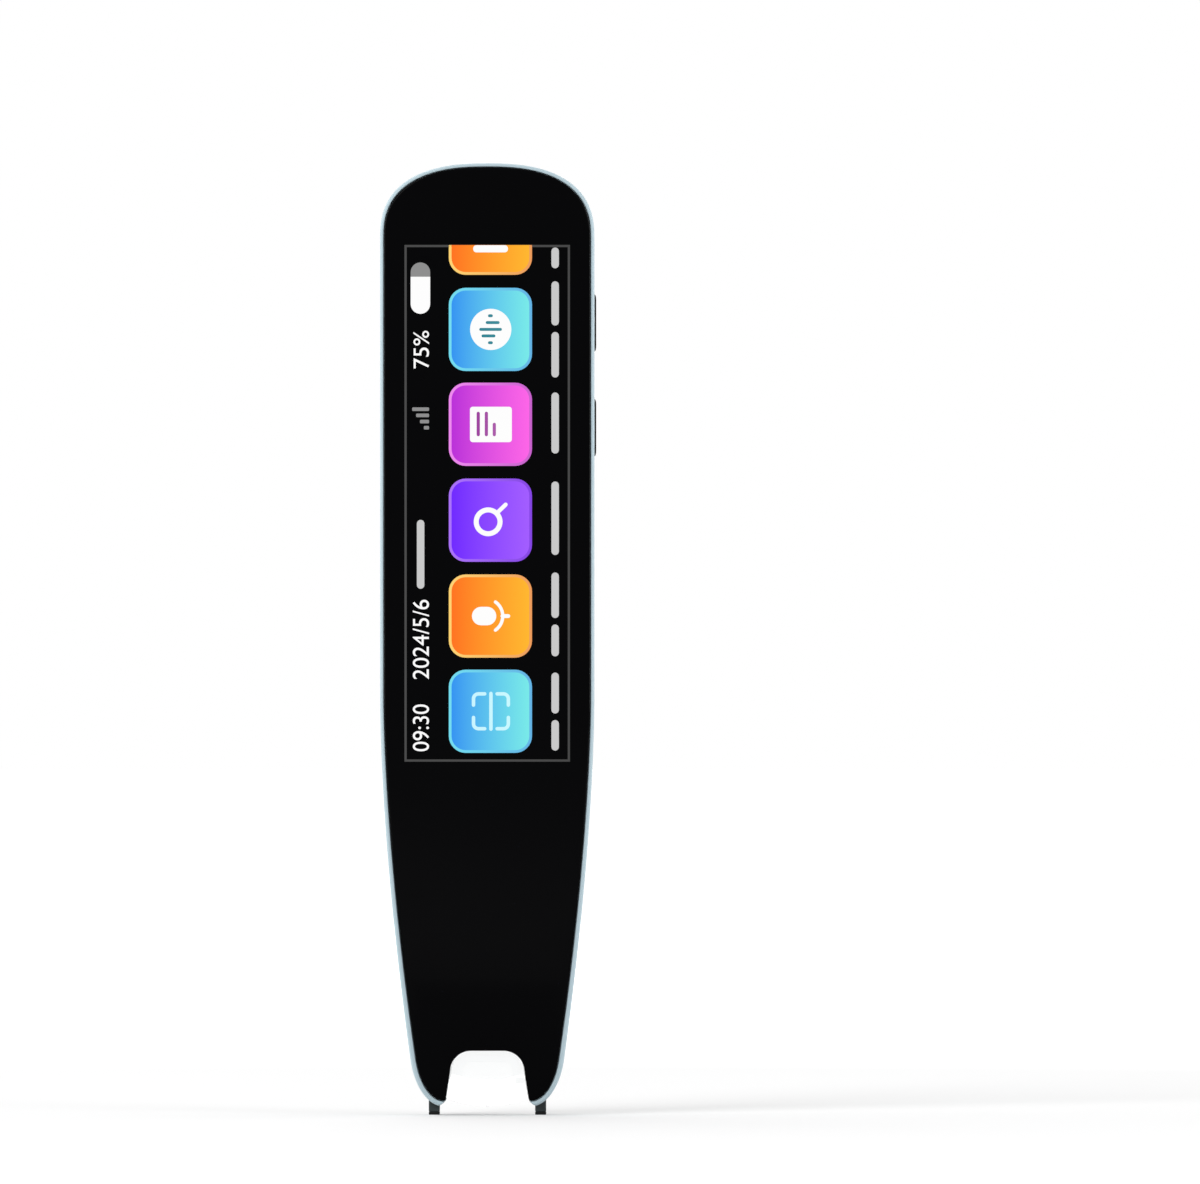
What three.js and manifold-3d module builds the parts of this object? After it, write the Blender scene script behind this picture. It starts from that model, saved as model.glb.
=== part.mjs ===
import * as THREE from "three";
import { mergeVertices } from "three/addons/utils/BufferGeometryUtils.js";
import Module from "manifold-3d";

const wasm = await Module();
wasm.setup();

// A translation scanner pen in millimetres. It stands on the soles of its two feet, +Z up,
// with its screen towards -Y and its buttons at +X. The origin is level with the soles,
// under the middle of the case.

// Shared clearances and counts
const overrun = 2;
const seatGap = 0.1;
const slideGap = 0.2;
const mergeLength = 1e-4;
const quarterTurn = Math.PI / 2;
const halfTurn = Math.PI;
const rodSides = 12;
const arcSteps = 5;

// Case: a domed top, straight sides and a long taper down to two rounded tips
const caseWidth = 33;
const caseDepth = 11.5;
const caseLength = 145.2;
const caseWall = 1.3;
const footReach = 1.4;
const domeHeight = 11.5;
const domePower = 2.5;
const domeSteps = 9;
const taperLength = 55.3;
const tipWidth = 23.68;
const taperPower = 1.66;
const taperSteps = 7;
const tipRoundWidth = 5.4;
const tipRoundHeight = 9.6;
const tipSteps = 5;
const partingShare = 0.5;
const seamGroove = 0.15;

// Nib notch between the two tips
const notchHeight = 8.6;
const notchFlat = 5;
const notchShoulderWidth = 11.45;
const notchMouthWidth = 13.1;
const notchRound = 3.2;

// Cover glass and its adhesive
const glassThickness = 0.8;
const glassInset = 0.65;
const glassTipInset = 0.25;
const glassEdge = 0.25;
const glassRoom = 0.15;
const adhesiveThickness = 0.2;
const adhesiveInset = 0.3;

// Front frame
const rimStep = 0.35;
const rimRoundWidth = 0.35;
const rimRoundDepth = 0.7;
const rimSteps = 2;
const ledgeThickness = 0.8;
const archWall = 0.9;
const archTop = 1.6;

// Screen, its backlight and its flex
const screenLength = 79.5;
const screenSideMargin = 3.45;
const screenTopMargin = 12.6;
const panelBorder = 0.9;
const panelThickness = 1.1;
const backlightBorder = 0.25;
const backlightThickness = 1.1;
const openingRoom = 0.3;
const flexThickness = 0.2;
const flexWidth = 5.6;
const flexSide = 2.5;
const flexDrop = 8;
const flexLap = 17;
const flexTail = 2.5;

// Chassis, the metal plate that carries the boards
const chassisThickness = 0.8;
const chassisInset = 1.6;
const chassisFootGap = 0.3;
const chassisGap = 0.2;
const standoffHeight = 0.8;
const standoffRadius = 1.5;

// Screws
const screwHeadRadius = 1.1;
const screwHeadHeight = 0.6;
const screwRecess = 0.3;
const screwShank = 0.5;
const screwHole = 0.65;
const chassisScrewLength = 1.9;
const boardScrewLength = 1.4;
const bossRadius = 1.6;
const bossRoom = 0.8;
const bossDomeDraw = 1.6;
const lowerBossRise = 10.6;
const screwSides = 8;

// Boards and what is on the main board
const boardThickness = 0.8;
const boardInset = 2.6;
const boardFootGap = 14.4;
const boardLength = 32.6;
const boardScrewInset = 3;
const chipThickness = 1;
const chipSize = 9;
const chipPitch = 9.6;
const chipTopMargin = 7;
const memoryWidth = 7.4;
const radioWidth = 11;
const radioHeight = 1.5;
const radioGap = 4;
const radioFootMargin = 3.6;
const socketWidth = 4;
const socketLength = 2.6;
const socketHeight = 1.4;
const socketInset = 4.6;
const socketMargin = 0.4;

// Battery, its tape and leads
const batteryKeyGap = 0.5;
const batteryLinkGap = 0.3;
const batteryRoom = 1.6;
const batteryFootGap = 5;
const batteryTopGap = 5;
const batteryCorner = 1.2;
const tapeThickness = 0.2;
const tapeMargin = 2;
const leadRadius = 0.5;
const leadPitch = 1.4;
const leadRise = 0.4;
const leadSteps = 8;
const leadArcSteps = 4;

// Rear shell
const rearDraw = 7;
const rearFlank = 1.2;
const rearSteps = 5;
const tipDrawShare = 0.3;
const lipRoom = 0.15;
const lipThickness = 0.6;
const lipReach = 0.7;
const lipRoot = 0.6;
const ribThickness = 1;
const ribGrip = 0.3;

// Speaker and its insert in the back
const speakerPortGap = 3.5;
const insertSideMargin = 6.85;
const insertThickness = 0.8;
const insertNeckStep = 1.25;
const insertNeckDepth = 0.4;
const insertGroove = 0.4;
const insertSides = 32;
const soundHoleRadius = 0.45;
const soundHoleSides = 8;
const soundRings = [
  { radiusShare: 0.38, count: 16 },
  { radiusShare: 0.565, count: 16 },
  { radiusShare: 0.752, count: 8 },
];
const meshThickness = 0.15;
const gasketThickness = 0.4;
const gasketWidth = 1.1;
const driverStep = 1.35;
const driverRim = 0.9;
const driverDepth = 3.2;
const magnetInset = 3.1;
const magnetDepth = 1.4;
const speakerRibRoom = 0.4;
const speakerRibWall = 0.65;
const speakerRibDepth = 2.25;

// Side buttons and their switches
const buttonLength = 9;
const buttonWidth = 2.2;
const buttonProud = 0.3;
const buttonBack = 2.45;
const powerDrop = 24.5;
const functionDrop = 40.65;
const buttonTravel = 0.35;
const buttonDepth = 3.95;
const buttonFlangeThickness = 0.5;
const buttonFlangeReach = 0.8;
const switchDepth = 1.6;
const switchWidth = 3;
const switchLength = 4.2;
const switchGap = 0.15;
const plungerRadius = 0.65;
const plungerGap = 0.1;
const plungerLength = 0.9;
const plungerBore = 0.9;
const boreDepth = 1.05;
const bracketThickness = 0.5;
const bracketFoot = 2;
const bracketMargin = 3;
const keyFlexThickness = 0.25;
const keyFlexWidth = 3.1;

// Microphone between the buttons
const micDepth = 1;
const micWidth = 2.6;
const micLength = 3.4;
const micHoleWidth = 1;
const micHoleLength = 1.2;
const bootRadius = 0.8;
const bootBore = 0.4;
const bootLength = 2.15;

// Charging port in the top end
const portWidth = 8.94;
const portHeight = 3.2;
const portWall = 0.3;
const portLength = 6.7;
const portRecess = 0.6;
const portBack = 0.5;
const portChassisGap = 0.3;
const tongueWidth = 6.6;
const tongueThickness = 0.7;
const tongueReach = 5.2;
const usbBoardTop = 3.4;
const usbBoardLength = 5.6;
const usbStandoffHeight = 1.7;
const usbScrewRoom = 1.83;
const usbScrewDrop = 6;
const linkWidth = 1.4;
const linkMargin = 0.9;
const linkLap = 2;

// Scan head: cover trim, window, camera and lamps
const trimFlank = 0.55;
const trimSeam = 0.12;
const plateWidth = 10.6;
const plateHeight = 4.5;
const plateCorner = 0.8;
const plateThickness = 1.25;
const windowRoom = 0.1;
const windowThickness = 1.8;
const windowFromBack = 0.75;
const windowDip = 0.1;
const windowSagitta = 1.2;
const windowFlangeWidth = 8.2;
const windowFlangeHeight = 0.8;
const windowFlangeDepth = 4.4;
const windowFlangeDrop = 0.8;
const apertureWidth = 7.8;
const apertureDepth = 1.8;
const apertureFront = 0.7;
const lineWidth = 0.6;
const lineHeight = 3.1;
const lineThickness = 0.1;
const lineFoot = 0.05;
const lampWidth = 1.4;
const lampLength = 1.2;
const lampHeight = 0.4;
const lampSide = 3;
const lampLift = 0.15;
const lightBoardWidth = 10.4;
const lightBoardDepth = 3.4;
const lightBoardThickness = 0.5;
const barrelRadius = 1.4;
const barrelLength = 0.95;
const barrelBore = 1.1;
const barrelBoreDepth = 0.5;
const lensRadius = 1;
const lensThickness = 0.4;
const cameraWidth = 6.6;
const cameraDepth = 5.2;
const cameraHeight = 2.9;
const cameraFlexWidth = 4.4;
const cameraFlexReach = 5;

// Trigger fork with the two feet, its springs and its switch
const forkTravel = 1.2;
const footWidth = 1.7;
const footGap = 0.8;
const legWidth = 1.9;
const footStep = 2.4;
const footSlope = 0.6;
const soleEdge = 0.2;
const forkFront = 1;
const forkFromBack = 1.45;
const legHeight = 14;
const barRise = 2.1;
const barHeight = 2.5;
const barDepth = 2;
const barEar = 1.15;
const slotTop = 8.4;
const slotRoom = 0.2;
const stopHeight = 1.1;
const springSide = 6.2;
const springRadius = 1.1;
const springWire = 0.2;
const springLength = 5;
const springTurns = 5;
const springSteps = 8;
const springSides = 6;
const springPin = 0.6;
const springPinHeight = 1.2;
const triggerSwitchWidth = 4.4;
const triggerSwitchDepth = 2.6;
const triggerSwitchHeight = 3;
const triggerPlungerLength = 2.5;
const triggerBoreDepth = 2.3;

// Antenna
const antennaWidth = 12;
const antennaLength = 22;
const antennaThickness = 0.15;
const antennaFoot = 30;

// Places through the depth, front to back
const frontY = -caseDepth / 2;
const backY = caseDepth / 2;
const partingY = frontY + caseDepth * partingShare;
const glassBackY = frontY + glassThickness;
const ledgeFrontY = glassBackY + adhesiveThickness;
const ledgeBackY = ledgeFrontY + ledgeThickness;
const panelBackY = glassBackY + panelThickness;
const backlightBackY = panelBackY + backlightThickness;
const chassisFrontY = backlightBackY + chassisGap;
const chassisBackY = chassisFrontY + chassisThickness;
const boardFrontY = chassisBackY + standoffHeight;
const boardBackY = boardFrontY + boardThickness;
const innerBackY = backY - caseWall;
const flankY = partingY + rearFlank;
const buttonY = partingY + buttonBack;

// Places across the case: its half width, the keys from the right wall in and the link on the left
const halfWidth = caseWidth / 2;
const tipHalfWidth = tipWidth / 2;
const taperDepth = halfWidth - tipHalfWidth;
const buttonInnerX = halfWidth - buttonDepth;
const switchFaceX = buttonInnerX - buttonTravel - switchGap;
const switchBackX = switchFaceX - switchDepth;
const keyFlexX = switchBackX - keyFlexThickness;
const bracketX = keyFlexX - bracketThickness;
const linkOuterX = halfWidth - caseWall - linkMargin;
const linkInnerX = linkOuterX - linkWidth;

// The speaker fits between the keys and the other side
const insertRadius = halfWidth - insertSideMargin;
const insertNeck = insertRadius - insertNeckStep;
const driverRadius = insertRadius - driverStep;
const magnetRadius = driverRadius - magnetInset;

// Places up the case
const topZ = footReach + caseLength;
const domeZ = topZ - domeHeight;
const tipMiddleZ = footReach + tipRoundHeight;
const tipLean = Math.atan((taperDepth * taperPower * tipRoundHeight) / (taperLength * tipRoundWidth));
const cornerZ = tipMiddleZ - tipRoundHeight * Math.sin(tipLean);
const taperZ = cornerZ + taperLength;
const notchTopZ = footReach + notchHeight;
const shoulderZ = notchTopZ - notchRound;
const archTopZ = notchTopZ + archTop;
const screenTopZ = topZ - screenTopMargin;
const screenFootZ = screenTopZ - screenLength;
const portMouthZ = topZ - portRecess;
const portFootZ = portMouthZ - portLength;
const portY = chassisBackY + portChassisGap + portHeight / 2;
const speakerZ = portFootZ - speakerPortGap - driverRadius;

// Half the case's width at a height on its sides
function halfWidthAt(z) {
  const share = THREE.MathUtils.clamp((taperZ - z) / taperLength, 0, 1);
  return halfWidth - taperDepth * Math.pow(share, taperPower);
}

const screenHalf = halfWidthAt(screenFootZ - panelBorder) - screenSideMargin;

// The case's outline in x and z, clockwise from the top, drawn in by a wall and by the rounding
function caseOutline({ inset = 0, draw = 0, tipInset = 0 } = {}) {
  const narrow = 1 - draw / (halfWidth - inset);
  const half = [];
  for (let i = 0; i <= domeSteps; i++) {
    const turn = quarterTurn * (1 - i / domeSteps);
    const out = Math.pow(Math.cos(turn), 2 / domePower);
    const up = Math.pow(Math.sin(turn), 2 / domePower);
    half.push([(halfWidth - inset - draw) * (i ? out : 0), domeZ + (domeHeight - inset - draw) * up]);
  }
  for (let i = 0; i <= taperSteps; i++) {
    const z = taperZ - (taperLength * i) / taperSteps;
    half.push([(halfWidthAt(z) - inset - (tipInset * i) / taperSteps) * narrow, z]);
  }
  const roundX = tipHalfWidth - tipRoundWidth * Math.cos(tipLean);
  for (let i = 1; i <= tipSteps; i++) {
    const turn = THREE.MathUtils.lerp(tipLean, quarterTurn, i / tipSteps);
    const out = roundX + (tipRoundWidth - inset - tipInset) * Math.cos(turn);
    const down = (tipRoundHeight - inset - tipInset - draw * tipDrawShare) * Math.sin(turn);
    half.push([out * narrow, tipMiddleZ - down]);
  }
  const mirrored = half.slice(1).reverse();
  return [...half, ...mirrored.map(([x, z]) => [-x, z])];
}

function capFaces(ring) {
  const points = ring.map((point) => new THREE.Vector2(...point));
  return THREE.ShapeUtils.triangulateShape(points, []);
}

// A closed body through one case outline at each depth
function loft(levels) {
  const rings = levels.map((level) => caseOutline(level));
  const count = rings[0].length;
  const last = rings.length - 1;
  const positions = rings.flatMap((ring, level) => ring.flatMap(([x, z]) => [x, levels[level].y, z]));
  const faces = [];
  for (let level = 0; level < last; level++) {
    for (let i = 0; i < count; i++) {
      const here = level * count + i;
      const next = level * count + ((i + 1) % count);
      faces.push(here, next, next + count, here, next + count, here + count);
    }
  }
  for (const [a, b, c] of capFaces(rings[0])) {
    faces.push(a, b, c);
  }
  for (const [a, b, c] of capFaces(rings[last])) {
    faces.push(last * count + a, last * count + c, last * count + b);
  }
  const geometry = new THREE.BufferGeometry();
  geometry.setAttribute("position", new THREE.Float32BufferAttribute(positions, 3));
  geometry.setIndex(faces);
  return geometry;
}

// Depth levels of a rounded back, from its straight flank to its flat face
function roundedBack(inset, draw, flatY) {
  return Array.from({ length: rearSteps + 1 }, (_, i) => {
    const turn = (quarterTurn * i) / rearSteps;
    return { y: flankY + (flatY - flankY) * Math.sin(turn), draw: draw * (1 - Math.cos(turn)), inset };
  });
}

// The inside of the back half, drawn in by a wall
function rearInside(wall) {
  const rounded = roundedBack(wall, rearDraw - wall, backY - wall);
  return solid(loft([{ y: partingY - overrun, inset: wall }, ...rounded]));
}

// The nib notch's outline, moved out at its sides and its top, running on below the case
function notchOutline(side, top) {
  const mouth = notchMouthWidth / 2 + side;
  const flat = notchFlat / 2;
  const roundWidth = notchShoulderWidth / 2 + side - flat;
  const shape = new THREE.Shape();
  shape.moveTo(-mouth, -overrun);
  shape.lineTo(mouth, -overrun);
  shape.lineTo(mouth, footReach);
  shape.absellipse(flat, shoulderZ, roundWidth, notchRound + top, 0, quarterTurn);
  shape.absellipse(-flat, shoulderZ, roundWidth, notchRound + top, quarterTurn, halfTurn);
  shape.lineTo(-mouth, footReach);
  return shape;
}

// A rectangle with round corners from low to high
function roundedBox([left, low], [right, high], radius) {
  const shape = new THREE.Shape();
  shape.absarc(right - radius, high - radius, radius, 0, quarterTurn);
  shape.absarc(left + radius, high - radius, radius, quarterTurn, halfTurn);
  shape.absarc(left + radius, low + radius, radius, halfTurn, 3 * quarterTurn);
  shape.absarc(right - radius, low + radius, radius, 3 * quarterTurn, 2 * halfTurn);
  return shape;
}

// A slot with half-round ends, long in its second direction
function stadium(width, length, centre = [0, 0]) {
  const radius = width / 2;
  const straight = length / 2 - radius;
  const shape = new THREE.Shape();
  shape.absarc(centre[0], centre[1] + straight, radius, 0, halfTurn);
  shape.absarc(centre[0], centre[1] - straight, radius, halfTurn, 2 * halfTurn);
  return shape;
}

// A shape pushed along an axis: a y prism is drawn in x and z, an x prism in y and z
function prism(shape, axis, low, high, curveSegments = arcSteps) {
  const options = { depth: high - low, bevelEnabled: false, curveSegments };
  const geometry = new THREE.ExtrudeGeometry(shape, options);
  const x = new THREE.Vector3(1, 0, 0);
  const y = new THREE.Vector3(0, 1, 0);
  const z = new THREE.Vector3(0, 0, 1);
  const turn = new THREE.Matrix4();
  if (axis === "x") {
    turn.makeBasis(y, z, x).setPosition(low, 0, 0);
  }
  if (axis === "y") {
    turn.makeBasis(x, z, y.negate()).setPosition(0, high, 0);
  }
  if (axis === "z") {
    turn.setPosition(0, 0, low);
  }
  return geometry.applyMatrix4(turn);
}

// A round rod along an axis, placed by its other two coordinates
function rod(axis, radius, low, high, [first, second], sides = rodSides) {
  const geometry = new THREE.CylinderGeometry(radius, radius, high - low, sides);
  const middle = (low + high) / 2;
  if (axis === "x") {
    return geometry.rotateZ(quarterTurn).translate(middle, first, second);
  }
  if (axis === "z") {
    return geometry.rotateX(quarterTurn).translate(first, second, middle);
  }
  return geometry.translate(first, middle, second);
}

function box(low, high) {
  const size = low.map((value, axis) => high[axis] - value);
  return new THREE.BoxGeometry(...size).translate(...low.map((value, axis) => value + size[axis] / 2));
}

// A profile of radius and height turned about Y
function turned(profile, sides) {
  return new THREE.LatheGeometry(profile.map(([radius, height]) => new THREE.Vector2(radius, height)), sides);
}

// Geometry to solid for joining and cutting, and back
function solid(geometry) {
  const bare = geometry.clone();
  bare.deleteAttribute("normal");
  bare.deleteAttribute("uv");
  const merged = mergeVertices(bare, mergeLength);
  const vertProperties = merged.attributes.position.array;
  const triVerts = new Uint32Array(merged.index.array);
  return new wasm.Manifold(new wasm.Mesh({ numProp: 3, vertProperties, triVerts }));
}

function surface(body) {
  const mesh = body.getMesh();
  const geometry = new THREE.BufferGeometry();
  geometry.setAttribute("position", new THREE.BufferAttribute(mesh.vertProperties, 3));
  geometry.setIndex(new THREE.BufferAttribute(mesh.triVerts, 1));
  geometry.computeVertexNormals();
  return geometry;
}

function piece(name, geometry, material, place = [0, 0, 0]) {
  const mesh = new THREE.Mesh(geometry, material);
  mesh.name = name;
  mesh.position.set(...place);
  return mesh;
}

function finish(color, roughness, metalness = 0) {
  return new THREE.MeshStandardMaterial({ color, roughness, metalness });
}

const blackGlass = finish(0x050507, 0.06);
const clearPlastic = finish(0xe9eef0, 0.08);
const lensGlass = finish(0x2a2440, 0.05);
const paleCase = finish(0xb0c4cc, 0.35);
const charcoalCase = finish(0x2b2b2b, 0.55);
const darkPlastic = finish(0x1a1a1c, 0.5);
const insertPlastic = finish(0x303031, 0.6);
const footPlastic = finish(0x3a4243, 0.5);
const whitePlastic = finish(0xe4e4e0, 0.5);
const foam = finish(0x1c1c1c, 0.95);
const tape = finish(0x26262a, 0.8);
const castMetal = finish(0x9a9ca0, 0.45, 0.9);
const steel = finish(0xb6b8ba, 0.3, 1);
const springSteel = finish(0x9fa2a6, 0.3, 1);
const greenBoard = finish(0x14563a, 0.5);
const chipBlack = finish(0x17181a, 0.55);
const flexAmber = finish(0xa4651c, 0.5);
const foil = finish(0xb9bcc0, 0.4, 0.6);
const redLead = finish(0xb3261e, 0.55);
const blackLead = finish(0x161616, 0.55);
const lampWhite = finish(0xf4f0d8, 0.3);
const lineInk = finish(0x1b1b1b, 0.6);

const pen = new THREE.Group();
const body = new THREE.Group();
pen.add(body);

// Bosses for the chassis screws: one pair in the dome, one pair above the scan head
const upperBossZ = screenTopZ + panelBorder + backlightBorder + bossRadius + bossRoom + slideGap;
const lowerBossZ = archTopZ + lowerBossRise;
const bossInset = caseWall + bossRadius + bossRoom;
const upperBossX = halfWidth - bossDomeDraw - bossInset;
const lowerBossX = halfWidthAt(lowerBossZ) - bossInset;
const bossPlaces = [
  [upperBossX, upperBossZ],
  [-upperBossX, upperBossZ],
  [lowerBossX, lowerBossZ],
  [-lowerBossX, lowerBossZ],
];

// Heights that the boards, the battery and the scan head share
const chassisFootZ = archTopZ + chassisFootGap;
const boardFootZ = archTopZ + boardFootGap;
const boardTopZ = boardFootZ + boardLength;
const socketZ = boardTopZ - socketLength - socketMargin;
const batteryFootZ = boardTopZ + batteryFootGap;
const batteryTopZ = speakerZ - driverRadius - speakerRibRoom - speakerRibWall - batteryTopGap;

// The display's flex drops below the screen, and far enough to lie on the board
const displayFlexZ = Math.min(
  screenFootZ - panelBorder - backlightBorder - seatGap - flexDrop,
  boardTopZ - flexLap,
);

function coverGlass() {
  const levels = [
    { y: frontY, inset: glassInset + glassEdge, tipInset: glassTipInset },
    { y: frontY + glassEdge, inset: glassInset, tipInset: glassTipInset },
    { y: glassBackY, inset: glassInset, tipInset: glassTipInset },
  ];
  const notch = prism(notchOutline(0, 0), "y", frontY - overrun, glassBackY + overrun);
  return surface(solid(loft(levels)).subtract(solid(notch)));
}

function glassAdhesive() {
  const inset = glassInset + adhesiveInset;
  const levels = [glassBackY, ledgeFrontY].map((y) => ({ y, inset, tipInset: glassTipInset }));
  const side = screenHalf + panelBorder + openingRoom;
  const window = box(
    [-side, glassBackY - overrun, screenFootZ - panelBorder - openingRoom],
    [side, ledgeFrontY + overrun, screenTopZ + panelBorder + openingRoom],
  );
  const notchShape = notchOutline(adhesiveInset, adhesiveInset);
  const notch = prism(notchShape, "y", glassBackY - overrun, ledgeFrontY + overrun);
  return surface(solid(loft(levels)).subtract(solid(window)).subtract(solid(notch)));
}

// The slot through the top wall, over the parting line, that the charging port shows in
function portSlot() {
  const mouth = stadium(portHeight + slideGap * 2, portWidth + slideGap * 2);
  const slot = prism(mouth, "z", 0, portLength + overrun * 2);
  return slot.rotateZ(quarterTurn).translate(0, portY, portFootZ);
}

function frontFrame() {
  const rimY = frontY + rimStep;
  const rim = Array.from({ length: rimSteps + 1 }, (_, i) => {
    const turn = (quarterTurn * i) / rimSteps;
    return { y: rimY + rimRoundDepth * (1 - Math.cos(turn)), inset: rimRoundWidth * (1 - Math.sin(turn)) };
  });
  const outer = loft([...rim, { y: partingY - seamGroove, inset: 0 }, { y: partingY, inset: seamGroove }]);
  const pocketInset = glassInset - glassRoom;
  const pocketDepths = [rimY - overrun, ledgeFrontY];
  const pocket = loft(pocketDepths.map((y) => ({ y, inset: pocketInset, tipInset: glassTipInset })));
  const cavity = loft([ledgeBackY, partingY + overrun].map((y) => ({ y, inset: caseWall })));
  const arch = prism(notchOutline(archWall, archTop), "y", ledgeBackY - overrun, partingY + overrun * 2);
  const notch = prism(notchOutline(0, 0), "y", frontY - overrun, partingY + overrun * 2);
  const side = screenHalf + panelBorder + backlightBorder + openingRoom;
  const opening = box(
    [-side, ledgeFrontY - overrun, screenFootZ - panelBorder - backlightBorder - openingRoom],
    [side, ledgeBackY + overrun, screenTopZ + panelBorder + backlightBorder + openingRoom],
  );
  let frame = solid(outer).subtract(solid(pocket));
  frame = frame.subtract(solid(cavity).subtract(solid(arch)));
  frame = frame.subtract(solid(notch)).subtract(solid(opening)).subtract(solid(portSlot()));
  for (const place of bossPlaces) {
    const boss = solid(rod("y", bossRadius, ledgeBackY - ledgeThickness / 2, chassisFrontY, place));
    const pilotY = chassisBackY - chassisScrewLength - slideGap;
    const pilot = solid(rod("y", screwHole, pilotY, chassisFrontY + overrun, place));
    frame = frame.add(boss).subtract(pilot);
  }
  return surface(frame);
}

function displayFlex() {
  const front = panelBackY + seatGap / 2;
  const tail = boardFrontY - seatGap - flexThickness;
  const top = screenFootZ - panelBorder - backlightBorder - seatGap;
  const low = displayFlexZ;
  const shape = new THREE.Shape();
  shape.moveTo(front, low);
  shape.lineTo(tail + flexThickness, low);
  shape.lineTo(tail + flexThickness, low + flexTail);
  shape.lineTo(tail, low + flexTail);
  shape.lineTo(tail, low + flexThickness);
  shape.lineTo(front + flexThickness, low + flexThickness);
  shape.lineTo(front + flexThickness, top);
  shape.lineTo(front, top);
  return prism(shape, "x", flexSide, flexSide + flexWidth);
}

const screenPieces = new THREE.Group();
const panelHalf = screenHalf + panelBorder;
const backlightHalf = panelHalf + backlightBorder;
screenPieces.add(
  piece("cover_glass", coverGlass(), blackGlass),
  piece("glass_adhesive", glassAdhesive(), tape),
  piece(
    "display_panel",
    box(
      [-panelHalf, glassBackY, screenFootZ - panelBorder],
      [panelHalf, panelBackY, screenTopZ + panelBorder],
    ),
    chipBlack,
  ),
  piece(
    "display_backlight",
    box(
      [-backlightHalf, panelBackY, screenFootZ - panelBorder - backlightBorder],
      [backlightHalf, backlightBackY, screenTopZ + panelBorder + backlightBorder],
    ),
    foil,
  ),
  piece("display_flex", displayFlex(), flexAmber),
);
body.add(piece("front_frame", frontFrame(), paleCase), screenPieces);

const boardTopHalf = halfWidthAt(boardTopZ) - boardInset;
const socketX = socketInset - boardTopHalf;
const boardScrews = [
  [boardTopHalf - boardScrewInset, boardTopZ - boardScrewInset],
  [-halfWidthAt(boardFootZ) + boardInset + boardScrewInset, boardFootZ + boardScrewInset],
];
const usbScrewSide = portWidth / 2 + usbScrewRoom + screwHeadRadius;
const usbScrews = [
  [usbScrewSide, topZ - usbScrewDrop],
  [-usbScrewSide, topZ - usbScrewDrop],
];
const usbBoardFrontY = chassisBackY + usbStandoffHeight;

function chassis() {
  const plate = loft([chassisFrontY, chassisBackY].map((y) => ({ y, inset: chassisInset })));
  const below = box(
    [-caseWidth, chassisFrontY - overrun, -caseLength],
    [caseWidth, chassisBackY + overrun, chassisFootZ],
  );
  const slot = box(
    [flexSide - openingRoom, chassisFrontY - overrun, displayFlexZ - openingRoom],
    [
      flexSide + flexWidth + openingRoom,
      chassisBackY + overrun,
      displayFlexZ + flexThickness + openingRoom,
    ],
  );
  let made = solid(plate).subtract(solid(below)).subtract(solid(slot));
  const root = chassisBackY - chassisThickness / 2;
  for (const place of boardScrews) {
    made = made.add(solid(rod("y", standoffRadius, root, boardFrontY, place)));
  }
  for (const place of usbScrews) {
    made = made.add(solid(rod("y", standoffRadius, root, usbBoardFrontY, place)));
  }
  for (const place of [...bossPlaces, ...boardScrews, ...usbScrews]) {
    made = made.subtract(solid(rod("y", screwHole, chassisFrontY - overrun, backY, place)));
  }
  return surface(made);
}

// A pan-head screw with a dimpled drive, its head's underside at y = 0 and its shank towards -Y
function screw(length) {
  return turned(
    [
      [0, -length],
      [screwShank, screwRecess - length],
      [screwShank, 0],
      [screwHeadRadius, 0],
      [screwHeadRadius - screwRecess / 2, screwHeadHeight],
      [screwShank, screwHeadHeight],
      [0, screwHeadHeight - screwRecess],
    ],
    screwSides,
  );
}

function addScrews(name, places, headY, length) {
  places.forEach(([x, z], i) => {
    body.add(piece(`${name}_${i + 1}`, screw(length), steel, [x, headY, z]));
  });
}

function board(frontSideY, lowZ, highZ, screws) {
  const outline = loft([frontSideY, frontSideY + boardThickness].map((y) => ({ y, inset: boardInset })));
  const span = box([-caseWidth, frontSideY - overrun, lowZ], [caseWidth, frontSideY + overrun, highZ]);
  let made = solid(outline).intersect(solid(span));
  for (const place of screws) {
    made = made.subtract(solid(rod("y", screwHole, frontSideY - overrun, frontSideY + overrun, place)));
  }
  return surface(made);
}

// A flat part soldered on the main board's back
function mounted(name, [width, length, height], [x, z], material) {
  const low = [x - width / 2, boardBackY, z - length / 2];
  const high = [x + width / 2, boardBackY + height, z + length / 2];
  return piece(name, box(low, high), material);
}

const chipZ = boardTopZ - chipTopMargin - chipSize / 2;
const radioTopZ = chipZ - chipSize / 2 - radioGap;
const radioLength = radioTopZ - boardFootZ - radioFootMargin;
const radioZ = radioTopZ - radioLength / 2;
body.add(
  piece("chassis", chassis(), castMetal),
  piece("main_board", board(boardFrontY, boardFootZ, boardTopZ, boardScrews), greenBoard),
  mounted("processor_chip", [chipSize, chipSize, chipThickness], [-chipPitch / 2, chipZ], chipBlack),
  mounted("memory_chip", [memoryWidth, chipSize, chipThickness], [chipPitch / 2, chipZ], chipBlack),
  mounted("radio_shield", [radioWidth, radioLength, radioHeight], [0, radioZ], foil),
  mounted(
    "battery_socket",
    [socketWidth, socketLength, socketHeight],
    [socketX, socketZ + socketLength / 2],
    whitePlastic,
  ),
);
addScrews("chassis_screw", bossPlaces, chassisBackY, chassisScrewLength);
addScrews("board_screw", boardScrews, boardBackY, boardScrewLength);

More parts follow.
